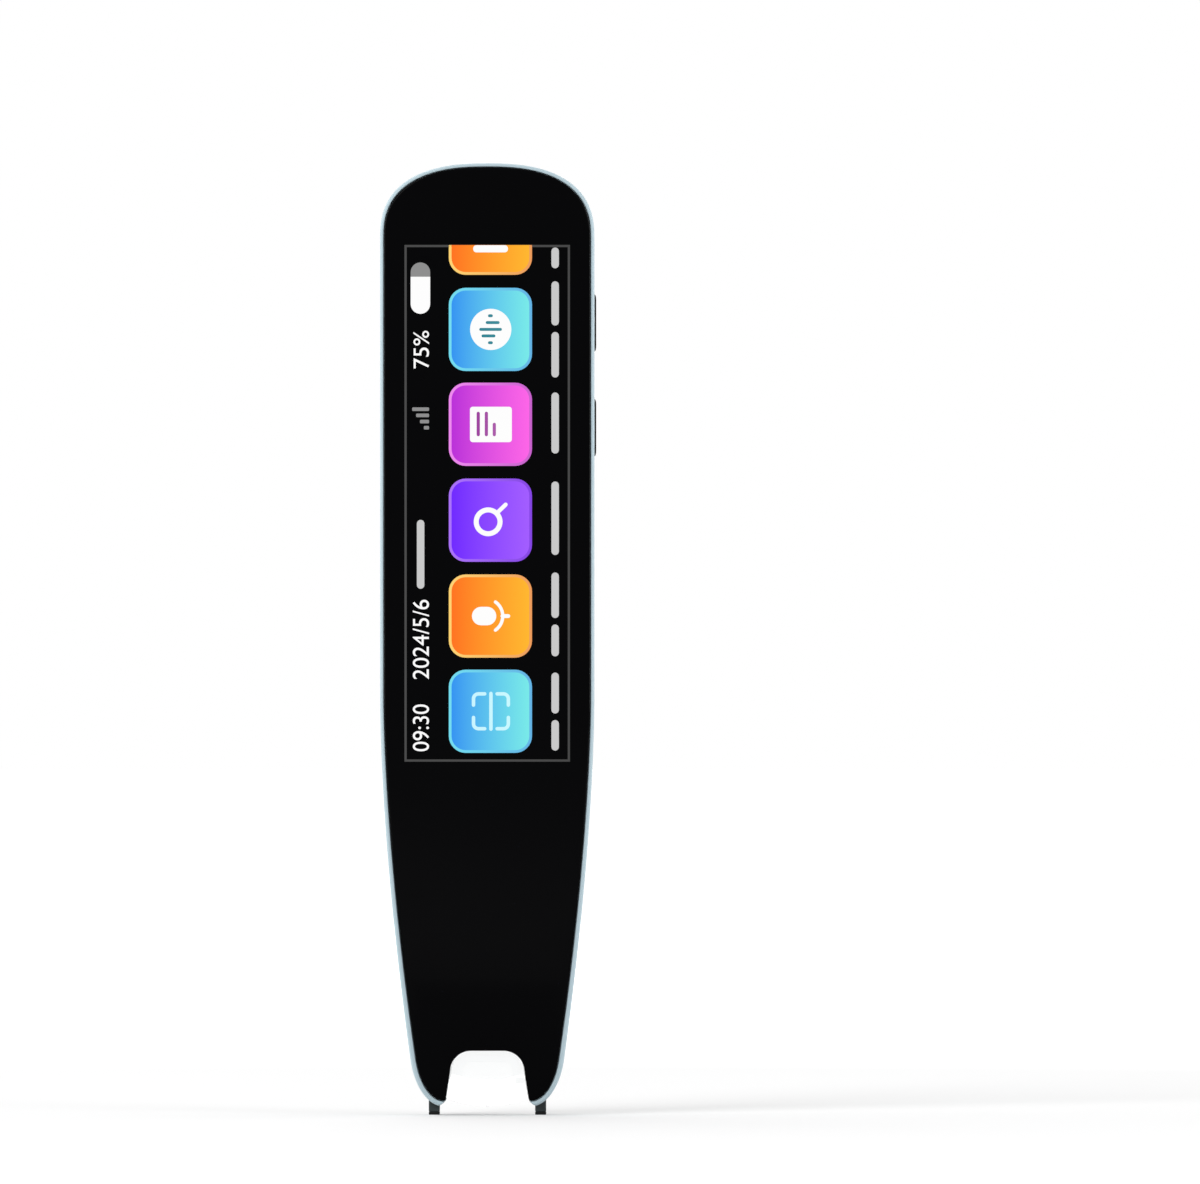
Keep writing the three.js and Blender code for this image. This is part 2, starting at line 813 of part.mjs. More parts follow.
// Battery cell with rounded long edges, on a strip of tape
const batteryFrontY = chassisBackY + tapeThickness;
const batteryBackY = innerBackY - batteryRoom;
const batteryLeft = batteryLinkGap - linkInnerX;
const batteryRight = bracketX - batteryKeyGap;
const battery = prism(
  roundedBox([batteryLeft, batteryFrontY], [batteryRight, batteryBackY], batteryCorner),
  "z",
  batteryFootZ,
  batteryTopZ,
);
const batteryTape = box(
  [batteryLeft + tapeMargin, chassisBackY, batteryFootZ + tapeMargin],
  [batteryRight - tapeMargin, batteryFrontY, batteryTopZ - tapeMargin],
);

function batteryLead(x) {
  const lowZ = socketZ + socketLength + seatGap;
  const highZ = batteryFootZ - seatGap;
  const y = boardBackY + socketHeight / 2;
  const rises = [0, 0, leadRise, 0, 0];
  const points = rises.map((rise, i) => {
    const share = i / (rises.length - 1);
    return new THREE.Vector3(x, y + rise, THREE.MathUtils.lerp(lowZ, highZ, share));
  });
  const extrudePath = new THREE.CatmullRomCurve3(points);
  const section = new THREE.Shape().absarc(0, 0, leadRadius, 0, 2 * halfTurn);
  return new THREE.ExtrudeGeometry(section, { steps: leadSteps, curveSegments: leadArcSteps, extrudePath });
}

body.add(
  piece("battery", battery, foil),
  piece("battery_tape", batteryTape, tape),
  piece("battery_lead_red", batteryLead(socketX - leadPitch / 2), redLead),
  piece("battery_lead_black", batteryLead(socketX + leadPitch / 2), blackLead),
);

// Speaker stack in the back: insert with its sound holes, dust mesh, gasket and driver
const insertSeatY = backY - insertThickness;
const insertNeckY = insertSeatY - insertNeckDepth;
const meshFrontY = insertNeckY - meshThickness - seatGap / 2;
const gasketFrontY = meshFrontY - gasketThickness;
const driverFrontY = gasketFrontY - driverDepth + magnetDepth;

function speakerInsert() {
  let made = solid(rod("y", insertRadius, insertSeatY, backY, [0, speakerZ], insertSides));
  const neck = rod("y", insertNeck, insertNeckY, insertSeatY + seatGap, [0, speakerZ], insertSides);
  made = made.add(solid(neck));
  for (const { radiusShare, count } of soundRings) {
    const radius = insertRadius * radiusShare;
    for (let i = 0; i < count; i++) {
      const turn = (2 * halfTurn * i) / count;
      const place = [radius * Math.sin(turn), speakerZ + radius * Math.cos(turn)];
      const hole = rod("y", soundHoleRadius, insertNeckY - overrun, backY + overrun, place, soundHoleSides);
      made = made.subtract(solid(hole));
    }
  }
  return surface(made);
}

function speakerGasket() {
  const inner = driverRadius - gasketWidth;
  return turned(
    [
      [inner, 0],
      [driverRadius, 0],
      [driverRadius, gasketThickness],
      [inner, gasketThickness],
      [inner, 0],
    ],
    insertSides,
  );
}

function speakerDriver() {
  return turned(
    [
      [0, -magnetDepth],
      [magnetRadius, -magnetDepth],
      [magnetRadius, 0],
      [driverRadius - driverRim, 0],
      [driverRadius, driverRim],
      [driverRadius, driverDepth - magnetDepth],
      [0, driverDepth - magnetDepth],
    ],
    insertSides,
  );
}

const meshDisc = new THREE.CylinderGeometry(driverRadius, driverRadius, meshThickness, insertSides);
body.add(
  piece("speaker_grille", speakerInsert(), insertPlastic),
  piece("speaker_mesh", meshDisc, steel, [0, meshFrontY + meshThickness / 2, speakerZ]),
  piece("speaker_gasket", speakerGasket(), foam, [0, gasketFrontY, speakerZ]),
  piece("speaker_driver", speakerDriver(), darkPlastic, [0, driverFrontY, speakerZ]),
);

// Side keys: the switches stand on a flex along a bracket, each behind its button
const powerZ = topZ - powerDrop;
const functionZ = topZ - functionDrop;
const micZ = (powerZ + functionZ) / 2;

// The outside of the case moved out by a small height, for what stands proud of it
function caseOutside(proud) {
  const levels = [{ y: partingY - overrun, inset: -proud }, ...roundedBack(-proud, rearDraw, backY + proud)];
  return solid(loft(levels));
}

function sideButton(z) {
  const stemShape = stadium(buttonWidth, buttonLength, [buttonY, z]);
  const stem = prism(stemShape, "x", buttonInnerX, halfWidth + overrun);
  const flangeShape = stadium(buttonWidth, buttonLength + buttonFlangeReach * 2, [buttonY, z]);
  const flange = prism(flangeShape, "x", buttonInnerX, buttonInnerX + buttonFlangeThickness);
  return surface(solid(stem).intersect(caseOutside(buttonProud)).add(solid(flange)));
}

function sideSwitch(z) {
  const can = box(
    [switchBackX, buttonY - switchWidth / 2, z - switchLength / 2],
    [switchFaceX, buttonY + switchWidth / 2, z + switchLength / 2],
  );
  const bore = rod("x", plungerBore, switchFaceX - boreDepth, switchFaceX + overrun, [buttonY, z]);
  return surface(solid(can).subtract(solid(bore)));
}

function sidePlunger(z) {
  const tipX = buttonInnerX - plungerGap;
  return rod("x", plungerRadius, tipX - plungerLength, tipX, [buttonY, z]);
}

function addSideKey(name, z) {
  const moving = new THREE.Group();
  moving.add(
    piece(`${name}_button`, sideButton(z), darkPlastic),
    piece(`${name}_switch_plunger`, sidePlunger(z), whitePlastic),
  );
  pen.add(moving);
  body.add(piece(`${name}_switch`, sideSwitch(z), steel));
}

addSideKey("power", powerZ);
addSideKey("function", functionZ);

function keyBracket() {
  const lowZ = functionZ - switchLength / 2 - bracketMargin;
  const highZ = powerZ + switchLength / 2 + bracketMargin;
  const wall = box([bracketX, chassisBackY, lowZ], [keyFlexX, buttonY + switchWidth / 2, highZ]);
  const footBackY = chassisBackY + bracketThickness;
  const foot = box([bracketX, chassisBackY, lowZ], [bracketX + bracketFoot, footBackY, highZ]);
  return surface(solid(wall).add(solid(foot)));
}

const keyFlex = box(
  [keyFlexX, buttonY - keyFlexWidth / 2, functionZ - switchLength / 2 - bracketMargin / 2],
  [switchBackX, buttonY + keyFlexWidth / 2, powerZ + switchLength / 2 + bracketMargin / 2],
);
const micFaceX = switchBackX + micDepth;
const mic = box(
  [switchBackX, buttonY - micWidth / 2, micZ - micLength / 2],
  [micFaceX, buttonY + micWidth / 2, micZ + micLength / 2],
);

function micBoot() {
  const tube = rod("x", bootRadius, micFaceX, micFaceX + bootLength, [buttonY, micZ]);
  const bore = rod("x", bootBore, micFaceX - overrun, micFaceX + bootLength + overrun, [buttonY, micZ]);
  return surface(solid(tube).subtract(solid(bore)));
}

body.add(
  piece("key_bracket", keyBracket(), castMetal),
  piece("key_flex", keyFlex, flexAmber),
  piece("microphone", mic, foil),
  piece("microphone_boot", micBoot(), foam),
);

// Charging port sunk into a cut-out of its own small board, in the top end
function portShell() {
  const tube = prism(stadium(portHeight, portWidth), "z", portFootZ, portMouthZ);
  const inside = stadium(portHeight - portWall * 2, portWidth - portWall * 2);
  const bore = prism(inside, "z", portFootZ + portBack, portMouthZ + overrun);
  const made = solid(tube).subtract(solid(bore));
  return surface(made).rotateZ(quarterTurn).translate(0, portY, 0);
}

const usbTongue = box(
  [-tongueWidth / 2, portY - tongueThickness / 2, portFootZ + portBack],
  [tongueWidth / 2, portY + tongueThickness / 2, portFootZ + portBack + tongueReach],
);
const usbBoardHighZ = topZ - usbBoardTop;
const usbBoardLowZ = usbBoardHighZ - usbBoardLength;

function usbBoard() {
  const half = portWidth / 2 + slideGap;
  const farY = usbBoardFrontY + boardThickness + overrun;
  const room = box(
    [-half, usbBoardFrontY - overrun, portFootZ - slideGap],
    [half, farY, usbBoardHighZ + overrun],
  );
  const sheet = board(usbBoardFrontY, usbBoardLowZ, usbBoardHighZ, usbScrews);
  return surface(solid(sheet).subtract(solid(room)));
}

const linkFlex = box(
  [-linkOuterX, chassisBackY + seatGap / 2, boardTopZ - linkLap],
  [-linkInnerX, chassisBackY + seatGap / 2 + flexThickness, usbBoardLowZ + linkLap],
);
body.add(
  piece("usb_board", usbBoard(), greenBoard),
  piece("usb_port", portShell(), steel),
  piece("usb_tongue", usbTongue, darkPlastic),
  piece("link_flex", linkFlex, flexAmber),
);
addScrews("usb_board_screw", usbScrews, usbBoardFrontY + boardThickness, boardScrewLength);

// Fork that carries both feet: legs up past the head cover, joined by a crossbar
const footOuter = notchMouthWidth / 2 + footGap + footWidth;
const legInner = footOuter - legWidth;
const forkFrontY = partingY + forkFront;
const forkBackY = backY - forkFromBack;
const barZ = legHeight + barRise;
const barTopZ = barZ + barHeight;
const springY = forkFrontY + barDepth / 2;
const slotInner = legInner - slotRoom;
const slotOuter = footOuter + slotRoom;

function forkLeg(side) {
  const inner = footOuter - footWidth;
  const points = [
    [inner + soleEdge, 0],
    [footOuter - soleEdge, 0],
    [footOuter, soleEdge],
    [footOuter, legHeight],
    [legInner, legHeight],
    [legInner, footStep + footSlope],
    [inner, footStep],
    [inner, soleEdge],
  ].map(([x, z]) => new THREE.Vector2(side * x, z));
  return solid(prism(new THREE.Shape(points), "y", forkFrontY, forkBackY));
}

function triggerFork() {
  const barBackY = forkFrontY + barDepth;
  let fork = forkLeg(1).add(forkLeg(-1));
  for (const side of [1, -1]) {
    const inner = side * legInner;
    const outer = side * footOuter;
    const [left, right] = [Math.min(inner, outer), Math.max(inner, outer)];
    const neck = box([left, forkFrontY, legHeight - slideGap], [right, barBackY, barTopZ]);
    const pinPlace = [side * springSide, springY];
    const pin = rod("z", springPin, barTopZ - slideGap, barTopZ + springPinHeight, pinPlace);
    fork = fork.add(solid(neck)).add(solid(pin));
  }
  const reach = footOuter + barEar;
  return surface(fork.add(solid(box([-reach, forkFrontY, barZ], [reach, barBackY, barTopZ]))));
}

// A coil spring's centre line, rising along Z
class Coil extends THREE.Curve {
  constructor(radius, rise, turns) {
    super();
    Object.assign(this, { radius, rise, turns });
  }

  getPoint(share, target = new THREE.Vector3()) {
    const turn = 2 * halfTurn * this.turns * share;
    return target.set(this.radius * Math.cos(turn), this.radius * Math.sin(turn), this.rise * share);
  }
}

function triggerSpring() {
  const rise = springLength - springWire * 2 - seatGap * 2;
  const extrudePath = new Coil(springRadius, rise, springTurns);
  const section = new THREE.Shape().absarc(0, 0, springWire, 0, 2 * halfTurn);
  const options = { steps: springTurns * springSteps, curveSegments: springSides / 2, extrudePath };
  return new THREE.ExtrudeGeometry(section, options);
}

const springSeatZ = barTopZ + springLength;
const switchTopZ = springSeatZ - slideGap;
const switchFootZ = switchTopZ - triggerSwitchHeight;

function triggerSwitch() {
  const can = box(
    [-triggerSwitchWidth / 2, springY - triggerSwitchDepth / 2, switchFootZ],
    [triggerSwitchWidth / 2, springY + triggerSwitchDepth / 2, switchTopZ],
  );
  const bore = rod("z", plungerBore, switchFootZ - overrun, switchFootZ + triggerBoreDepth, [0, springY]);
  return surface(solid(can).subtract(solid(bore)));
}

const triggerPlungerZ = barTopZ + seatGap;
const triggerPlungerTopZ = triggerPlungerZ + triggerPlungerLength;
const triggerPlunger = rod("z", plungerRadius, triggerPlungerZ, triggerPlungerTopZ, [0, springY]);
const trigger = new THREE.Group();
trigger.add(
  piece("trigger_fork", triggerFork(), footPlastic),
  piece("trigger_switch_plunger", triggerPlunger, whitePlastic),
);
pen.add(trigger);
const springBaseZ = barTopZ + springWire + seatGap;
body.add(
  piece("trigger_spring_left", triggerSpring(), springSteel, [-springSide, springY, springBaseZ]),
  piece("trigger_spring_right", triggerSpring(), springSteel, [springSide, springY, springBaseZ]),
  piece("trigger_switch", triggerSwitch(), steel),
);

// Head cover: an arch round the notch with a plate above it, flush with the back
const apertureFrontY = partingY + apertureFront;
const windowBackY = backY - windowFromBack;
const windowFrontY = windowBackY - windowThickness;
const windowFlangeTopZ = notchTopZ + windowFlangeHeight;
const windowFlangeFrontY = windowBackY - windowFlangeDepth;
const windowFlangeFootZ = notchTopZ - windowFlangeDrop;

function plateShape(room) {
  const half = plateWidth / 2 + room;
  return roundedBox([-half, shoulderZ], [half, notchTopZ + plateHeight + room], plateCorner);
}

function headCover() {
  const arch = prism(notchOutline(trimFlank, archTop), "y", partingY, backY + overrun);
  const plate = prism(plateShape(0), "y", backY - plateThickness, backY + overrun);
  const notch = prism(notchOutline(0, 0), "y", partingY - overrun, backY + overrun);
  const half = windowFlangeWidth / 2 + windowRoom;
  const flangeRoom = box(
    [-half, windowFlangeFrontY - windowRoom, windowFlangeFootZ - windowRoom],
    [half, windowBackY + windowRoom, windowFlangeTopZ + windowRoom],
  );
  const aperture = box(
    [-apertureWidth / 2, apertureFrontY, notchTopZ],
    [apertureWidth / 2, apertureFrontY + apertureDepth, archTopZ + overrun],
  );
  let cover = solid(arch).add(solid(plate)).intersect(caseOutside(0));
  cover = cover.subtract(solid(notch)).subtract(solid(flangeRoom));
  return surface(cover.subtract(solid(aperture)));
}

// Clear window: a plate in the notch with a bowed lower edge, and a flange over the light path
function scanWindow() {
  const flat = notchFlat / 2;
  const roundWidth = notchShoulderWidth / 2 - windowRoom - flat;
  const lowZ = footReach - windowDip;
  const sideShare = (windowSagitta - windowDip) / (shoulderZ - footReach);
  const half = THREE.MathUtils.lerp(notchMouthWidth, notchShoulderWidth, sideShare) / 2 - windowRoom;
  const bow = (half * half + windowSagitta * windowSagitta) / (2 * windowSagitta);
  const spread = Math.asin(half / bow);
  const shape = new THREE.Shape();
  shape.absarc(0, lowZ + bow, bow, -quarterTurn - spread, spread - quarterTurn);
  shape.absellipse(flat, shoulderZ, roundWidth, notchRound - windowRoom, 0, quarterTurn);
  shape.absellipse(-flat, shoulderZ, roundWidth, notchRound - windowRoom, quarterTurn, halfTurn);
  const plate = solid(prism(shape, "y", windowFrontY, windowBackY));
  const notch = solid(prism(notchOutline(0, 0), "y", partingY - overrun, windowFrontY));
  const flange = solid(
    box(
      [-windowFlangeWidth / 2, windowFlangeFrontY, windowFlangeFootZ],
      [windowFlangeWidth / 2, windowBackY, windowFlangeTopZ],
    ),
  );
  return surface(plate.add(flange.subtract(notch)));
}

const lineZ = footReach - windowDip + lineFoot;
const guideLine = box(
  [-lineWidth / 2, windowBackY, lineZ],
  [lineWidth / 2, windowBackY + lineThickness, lineZ + lineHeight],
);

// Camera above the arch, looking down through the aperture, with a lamp at each side
const sightY = apertureFrontY + apertureDepth / 2;
const lampFootZ = archTopZ + lampLift;
const lightBoardZ = lampFootZ + lampHeight;
const cameraFootZ = lightBoardZ + lightBoardThickness + seatGap;
const cameraBackY = backY - plateThickness - openingRoom;
const cameraFrontY = cameraBackY - cameraDepth;
const barrelFootZ = cameraFootZ - barrelLength;

function cameraModule() {
  const can = box(
    [-cameraWidth / 2, cameraFrontY, cameraFootZ],
    [cameraWidth / 2, cameraBackY, cameraFootZ + cameraHeight],
  );
  const barrel = rod("z", barrelRadius, barrelFootZ, cameraFootZ + seatGap, [0, sightY]);
  const bore = rod("z", barrelBore, barrelFootZ - overrun, barrelFootZ + barrelBoreDepth, [0, sightY]);
  return surface(solid(can).add(solid(barrel)).subtract(solid(bore)));
}

function lightBoard() {
  const plate = box(
    [-lightBoardWidth / 2, sightY - lightBoardDepth / 2, lightBoardZ],
    [lightBoardWidth / 2, sightY + lightBoardDepth / 2, lightBoardZ + lightBoardThickness],
  );
  const hole = rod("z", barrelRadius + slideGap, lightBoardZ - overrun, lightBoardZ + overrun, [0, sightY]);
  return surface(solid(plate).subtract(solid(hole)));
}

function lamp(side) {
  const x = side * lampSide;
  return box(
    [x - lampWidth / 2, sightY - lampLength / 2, lampFootZ],
    [x + lampWidth / 2, sightY + lampLength / 2, lightBoardZ],
  );
}

const lensGeometry = rod(
  "z",
  lensRadius,
  barrelFootZ + barrelBoreDepth - lensThickness,
  barrelFootZ + barrelBoreDepth,
  [0, sightY],
);
const cameraFlexBackY = Math.min(cameraFrontY, boardFrontY) - seatGap / 2;
const cameraFlex = box(
  [-cameraFlexWidth / 2, cameraFlexBackY - flexThickness, cameraFootZ + slideGap],
  [cameraFlexWidth / 2, cameraFlexBackY, boardFootZ + cameraFlexReach],
);
body.add(
  piece("scan_head_cover", headCover(), insertPlastic),
  piece("scan_window", scanWindow(), clearPlastic),
  piece("guide_line", guideLine, lineInk),
  piece("camera_module", cameraModule(), darkPlastic),
  piece("camera_lens", lensGeometry, lensGlass),
  piece("camera_flex", cameraFlex, flexAmber),
  piece("light_board", lightBoard(), greenBoard),
  piece("light_left", lamp(-1), lampWhite),
  piece("light_right", lamp(1), lampWhite),
);

// What stands inside the rear shell: the speaker's ring, the springs' seat and the fork's stops
function shellRibs() {
  const ringInner = driverRadius + speakerRibRoom;
  const ringFrontY = innerBackY - speakerRibDepth;
  const middle = [0, speakerZ];
  const ring = solid(rod("y", ringInner + speakerRibWall, ringFrontY, backY, middle, insertSides));
  const ringHole = solid(rod("y", ringInner, ringFrontY - overrun, backY + overrun, middle, insertSides));
  const seat = solid(
    box([-footOuter, partingY + slideGap, springSeatZ], [footOuter, backY, springSeatZ + ribThickness]),
  );
  let ribs = ring.subtract(ringHole).add(seat);
  for (const side of [1, -1]) {
    const near = side * (slotOuter + seatGap);
    const far = side * halfWidth;
    const low = [Math.min(near, far), partingY + lipRoot, barZ - slideGap - stopHeight];
    const high = [Math.max(near, far), forkFrontY + barDepth, barZ - slideGap];
    ribs = ribs.add(solid(box(low, high)));
  }
  return ribs.intersect(rearInside(caseWall - ribGrip));
}

// A tongue round the parting line that locates the shell inside the front frame
function shellLip() {
  const outerInset = caseWall + lipRoom;
  const lowY = partingY - lipReach;
  const highY = partingY + lipRoot;
  const tongue = solid(loft([lowY, highY].map((y) => ({ y, inset: outerInset }))));
  const root = solid(loft([partingY + lipRoom, highY].map((y) => ({ y, inset: caseWall - ribGrip }))));
  const throughDepths = [lowY - overrun, highY + overrun];
  const inside = loft(throughDepths.map((y) => ({ y, inset: outerInset + lipThickness })));
  const archShape = notchOutline(archWall + slideGap, archTop + slideGap);
  const arch = prism(archShape, "y", lowY - overrun, highY + overrun);
  return tongue.add(root).subtract(solid(inside)).subtract(solid(arch));
}

// Everything that passes through the rear shell
function shellCuts() {
  const seamed = trimFlank + trimSeam;
  const farY = backY + overrun;
  const nearY = partingY - overrun;
  const cuts = [
    rod("y", insertRadius + insertGroove, insertSeatY, farY, [0, speakerZ], insertSides),
    rod("y", insertNeck + insertGroove / 2, innerBackY - overrun, farY, [0, speakerZ], insertSides),
    prism(notchOutline(seamed, archTop + trimSeam), "y", nearY, farY),
    prism(plateShape(trimSeam), "y", innerBackY - overrun, farY),
    prism(stadium(micHoleWidth, micHoleLength, [buttonY, micZ]), "x", 0, caseWidth),
  ];
  for (const z of [powerZ, functionZ]) {
    const hole = stadium(buttonWidth + slideGap * 2, buttonLength + slideGap * 2, [buttonY, z]);
    cuts.push(prism(hole, "x", buttonInnerX, caseWidth));
  }
  cuts.push(portSlot());
  for (const side of [1, -1]) {
    const middle = (side * (slotInner + slotOuter)) / 2;
    const width = slotOuter - slotInner;
    const reach = slotTop + overrun;
    cuts.push(prism(stadium(width, reach, [middle, slotTop - reach / 2]), "y", forkFrontY - slideGap, farY));
    const channelTop = legHeight + forkTravel + slideGap;
    cuts.push(
      box(
        [middle - width / 2, forkFrontY - slideGap, -overrun],
        [middle + width / 2, forkBackY + slideGap, channelTop],
      ),
    );
  }
  return cuts;
}

function rearShell() {
  const outerLevels = [
    { y: partingY, inset: seamGroove },
    { y: partingY + seamGroove, inset: 0 },
    ...roundedBack(0, rearDraw, backY),
  ];
  let shell = solid(loft(outerLevels)).subtract(rearInside(caseWall));
  shell = shell.add(shellRibs()).add(shellLip());
  for (const cut of shellCuts()) {
    shell = shell.subtract(solid(cut));
  }
  return surface(shell);
}

body.add(piece("rear_shell", rearShell(), charcoalCase));

// Antenna film stuck inside the back
const antenna = box(
  [-antennaWidth / 2, innerBackY - antennaThickness, antennaFoot],
  [antennaWidth / 2, innerBackY, antennaFoot + antennaLength],
);
body.add(piece("antenna", antenna, flexAmber));

export default pen;
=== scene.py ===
import bpy
import bmesh
import math
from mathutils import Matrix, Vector
from mathutils.bvhtree import BVHTree


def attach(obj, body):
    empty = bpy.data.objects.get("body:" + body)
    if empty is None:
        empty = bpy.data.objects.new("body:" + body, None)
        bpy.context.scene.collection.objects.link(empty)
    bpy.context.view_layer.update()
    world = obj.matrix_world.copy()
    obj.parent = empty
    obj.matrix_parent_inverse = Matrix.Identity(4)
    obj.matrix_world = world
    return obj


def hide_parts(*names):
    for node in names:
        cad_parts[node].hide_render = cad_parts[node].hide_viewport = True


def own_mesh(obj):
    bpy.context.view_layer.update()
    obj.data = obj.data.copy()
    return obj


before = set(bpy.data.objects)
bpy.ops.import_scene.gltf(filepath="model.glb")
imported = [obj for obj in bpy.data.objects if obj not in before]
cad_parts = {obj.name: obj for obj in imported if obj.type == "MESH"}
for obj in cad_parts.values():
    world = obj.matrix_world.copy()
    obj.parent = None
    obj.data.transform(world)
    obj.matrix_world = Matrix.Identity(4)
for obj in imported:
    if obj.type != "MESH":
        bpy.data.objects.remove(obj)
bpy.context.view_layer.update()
scene = bpy.context.scene
mm = 0.001
quarter = math.pi / 2

# Lengths are in mm unless a note says otherwise. The case's outline has a domed top, straight
# sides, a long taper and a rounded tip
case = {
    "width": 33, "length": 145.2, "foot": 1.4, "front": -5.75, "back": 5.75, "wall": 1.3,
    "domeHeight": 11.5, "domePower": 2.5,
    "taperLength": 55.3, "taperPower": 1.66, "tipWidth": 23.68,
    "tipRoundWidth": 5.4, "tipRoundHeight": 9.6, "tipDraw": 0.3,
    "rearDraw": 7, "rearFlank": 1.2, "seam": 0.15,
}
notch = {
    "height": 8.6, "flat": 5, "shoulder": 11.45, "mouth": 13.1, "round": 3.2,
    "flareTop": 2.2, "flareOut": 1, "flareRise": 0.75,
}
density = {  # how many steps each stretch of an outline has
    "dome": 26, "side": 6, "taper": 20, "tip": 16, "notchSide": 8, "notchTop": 14,
    "corner": 9, "exact": 5, "slot": 16, "line": 8, "bow": 24, "round": 96, "neck": 64, "hole": 20,
}
cut = {"farFront": -8, "front": -2, "back": 8, "side": (8, 20)}  # how far cutting tools reach

halfWidth = case["width"] / 2
tipHalf = case["tipWidth"] / 2
taperDepth = halfWidth - tipHalf
topZ = case["foot"] + case["length"]
domeZ = topZ - case["domeHeight"]
tipMiddleZ = case["foot"] + case["tipRoundHeight"]
taperSlope = taperDepth * case["taperPower"] / case["taperLength"]
tipLean = math.atan(taperSlope * case["tipRoundHeight"] / case["tipRoundWidth"])
cornerZ = tipMiddleZ - case["tipRoundHeight"] * math.sin(tipLean)
taperZ = cornerZ + case["taperLength"]
notchTopZ = case["foot"] + notch["height"]
shoulderZ = notchTopZ - notch["round"]


def mix(a, b, share):
    return a + (b - a) * share


def outerHalf(inset=0, draw=0, tipInset=0, dense=1):
    # The right half of the case's outline, from its top middle down to the tip's lowest point
    narrow = 1 - draw / (halfWidth - inset)
    points = []
    steps = density["dome"] * dense
    for i in range(steps + 1):
        turn = quarter * (1 - i / steps)
        out = math.cos(turn) ** (2 / case["domePower"]) if i else 0
        up = math.sin(turn) ** (2 / case["domePower"]) if i < steps else 0
        points.append((
            (halfWidth - inset - draw) * out,
            domeZ + (case["domeHeight"] - inset - draw) * up,
        ))
    steps = density["side"] * dense
    for i in range(1, steps):
        points.append((halfWidth - inset - draw, mix(domeZ, taperZ, i / steps)))
    steps = density["taper"] * dense
    for i in range(steps + 1):
        share = i / steps
        wide = halfWidth - taperDepth * share ** case["taperPower"] - inset - tipInset * share
        points.append((wide * narrow, taperZ - case["taperLength"] * share))
    steps = density["tip"] * dense
    roundX = tipHalf - case["tipRoundWidth"] * math.cos(tipLean)
    for i in range(1, steps + 1):
        turn = mix(tipLean, quarter, i / steps)
        out = roundX + (case["tipRoundWidth"] - inset - tipInset) * math.cos(turn)
        down = (case["tipRoundHeight"] - inset - tipInset - draw * case["tipDraw"]) * math.sin(turn)
        points.append((out * narrow, tipMiddleZ - down))
    return points


def notchHalf(side=0, top=0, low=-2, dense=1, flare=False):
    # The right half of the nib notch, from below the case up to its top middle
    wide = notch["mouth"] / 2 + side
    flat = notch["flat"] / 2
    across = notch["shoulder"] / 2 + side - flat
    footZ = notch["flareTop"] if flare else case["foot"]
    footX = mix(wide, flat + across, (footZ - case["foot"]) / (shoulderZ - case["foot"]))
    points = [(footX, low)]
    if flare:
        flareX = footX + notch["flareOut"]
        points = [(flareX, low), (flareX, footZ - notch["flareRise"])]
    steps = density["notchSide"] * dense
    for i in range(steps):
        share = i / steps
        points.append((mix(footX, flat + across, share), mix(footZ, shoulderZ, share)))
    steps = density["notchTop"] * dense
    for i in range(steps + 1):
        turn = quarter * i / steps
        points.append((
            flat + across * math.cos(turn),
            shoulderZ + (notch["round"] + top) * math.sin(turn),
        ))
    return points + [(0, notchTopZ + top)]


def mirrored(half):
    # A closed loop from its right half, whose two ends may lie on the middle line
    left = [(-x, z) for x, z in reversed(half) if x > 1e-6]  # none on the middle line twice
    return half + left


def lengths(points):
    # How far along a line each of its points is
    total = [0]
    for a, b in zip(points, points[1:]):
        total.append(total[-1] + math.dist(a, b))
    return total


def sampled(points, shares):
    # Points at shares of a line's length
    total = lengths(points)
    made, i = [], 0
    for share in shares:
        place = share * total[-1]
        while i < len(points) - 2 and total[i + 1] < place:
            i += 1
        step = (place - total[i]) / (total[i + 1] - total[i])
        (ax, az), (bx, bz) = points[i], points[i + 1]
        made.append((mix(ax, bx, step), mix(az, bz, step)))
    return made


def spacing(points):
    # The same as shares of the whole
    total = lengths(points)
    return [value / total[-1] for value in total]


def crossing(first, second):
    # Where two open lines cross: the segment of each and the point
    for i in range(len(first) - 1, 0, -1):
        (ax, az), (bx, bz) = first[i - 1], first[i]
        for j in range(len(second) - 1):
            (cx, cz), (dx, dz) = second[j], second[j + 1]
            spread = (bx - ax) * (dz - cz) - (bz - az) * (dx - cx)
            if abs(spread) < 1e-12:  # parallel
                continue
            s = ((cx - ax) * (dz - cz) - (cz - az) * (dx - cx)) / spread
            t = ((cx - ax) * (bz - az) - (cz - az) * (bx - ax)) / spread
            if 0 <= s <= 1 and 0 <= t <= 1:
                return i, j, (ax + (bx - ax) * s, az + (bz - az) * s)
    raise ValueError("the outline and the notch don't cross")


def shortened(points, amount):
    # A line with a length cut off its end
    total = lengths(points)
    return sampled(points, [share * (1 - amount / total[-1]) for share in spacing(points)])


def penLoop(inset, tipInset, side, top, corner, flare=False):
    # The case's outline with the nib notch in it, its two inner corners rounded
    outer = outerHalf(inset, 0, tipInset, density["exact"])
    outer.append((0, outer[-1][1]))
    inner = notchHalf(side, top, dense=density["exact"], flare=flare)
    i, j, sharp = crossing(outer, inner)
    outer = shortened(outer[:i] + [sharp], corner)
    inner = shortened(list(reversed([sharp] + inner[j + 1:])), corner)[::-1]
    arc = []
    for step in range(1, density["corner"]):
        t = step / density["corner"]
        arc.append(tuple(
            (1 - t) ** 2 * a + 2 * t * (1 - t) * b + t * t * c
            for a, b, c in zip(outer[-1], sharp, inner[0])
        ))
    right = sampled(outer, spacing(outerHalf())) + arc + sampled(inner, spacing(notchHalf()[1:]))
    return mirrored(right)


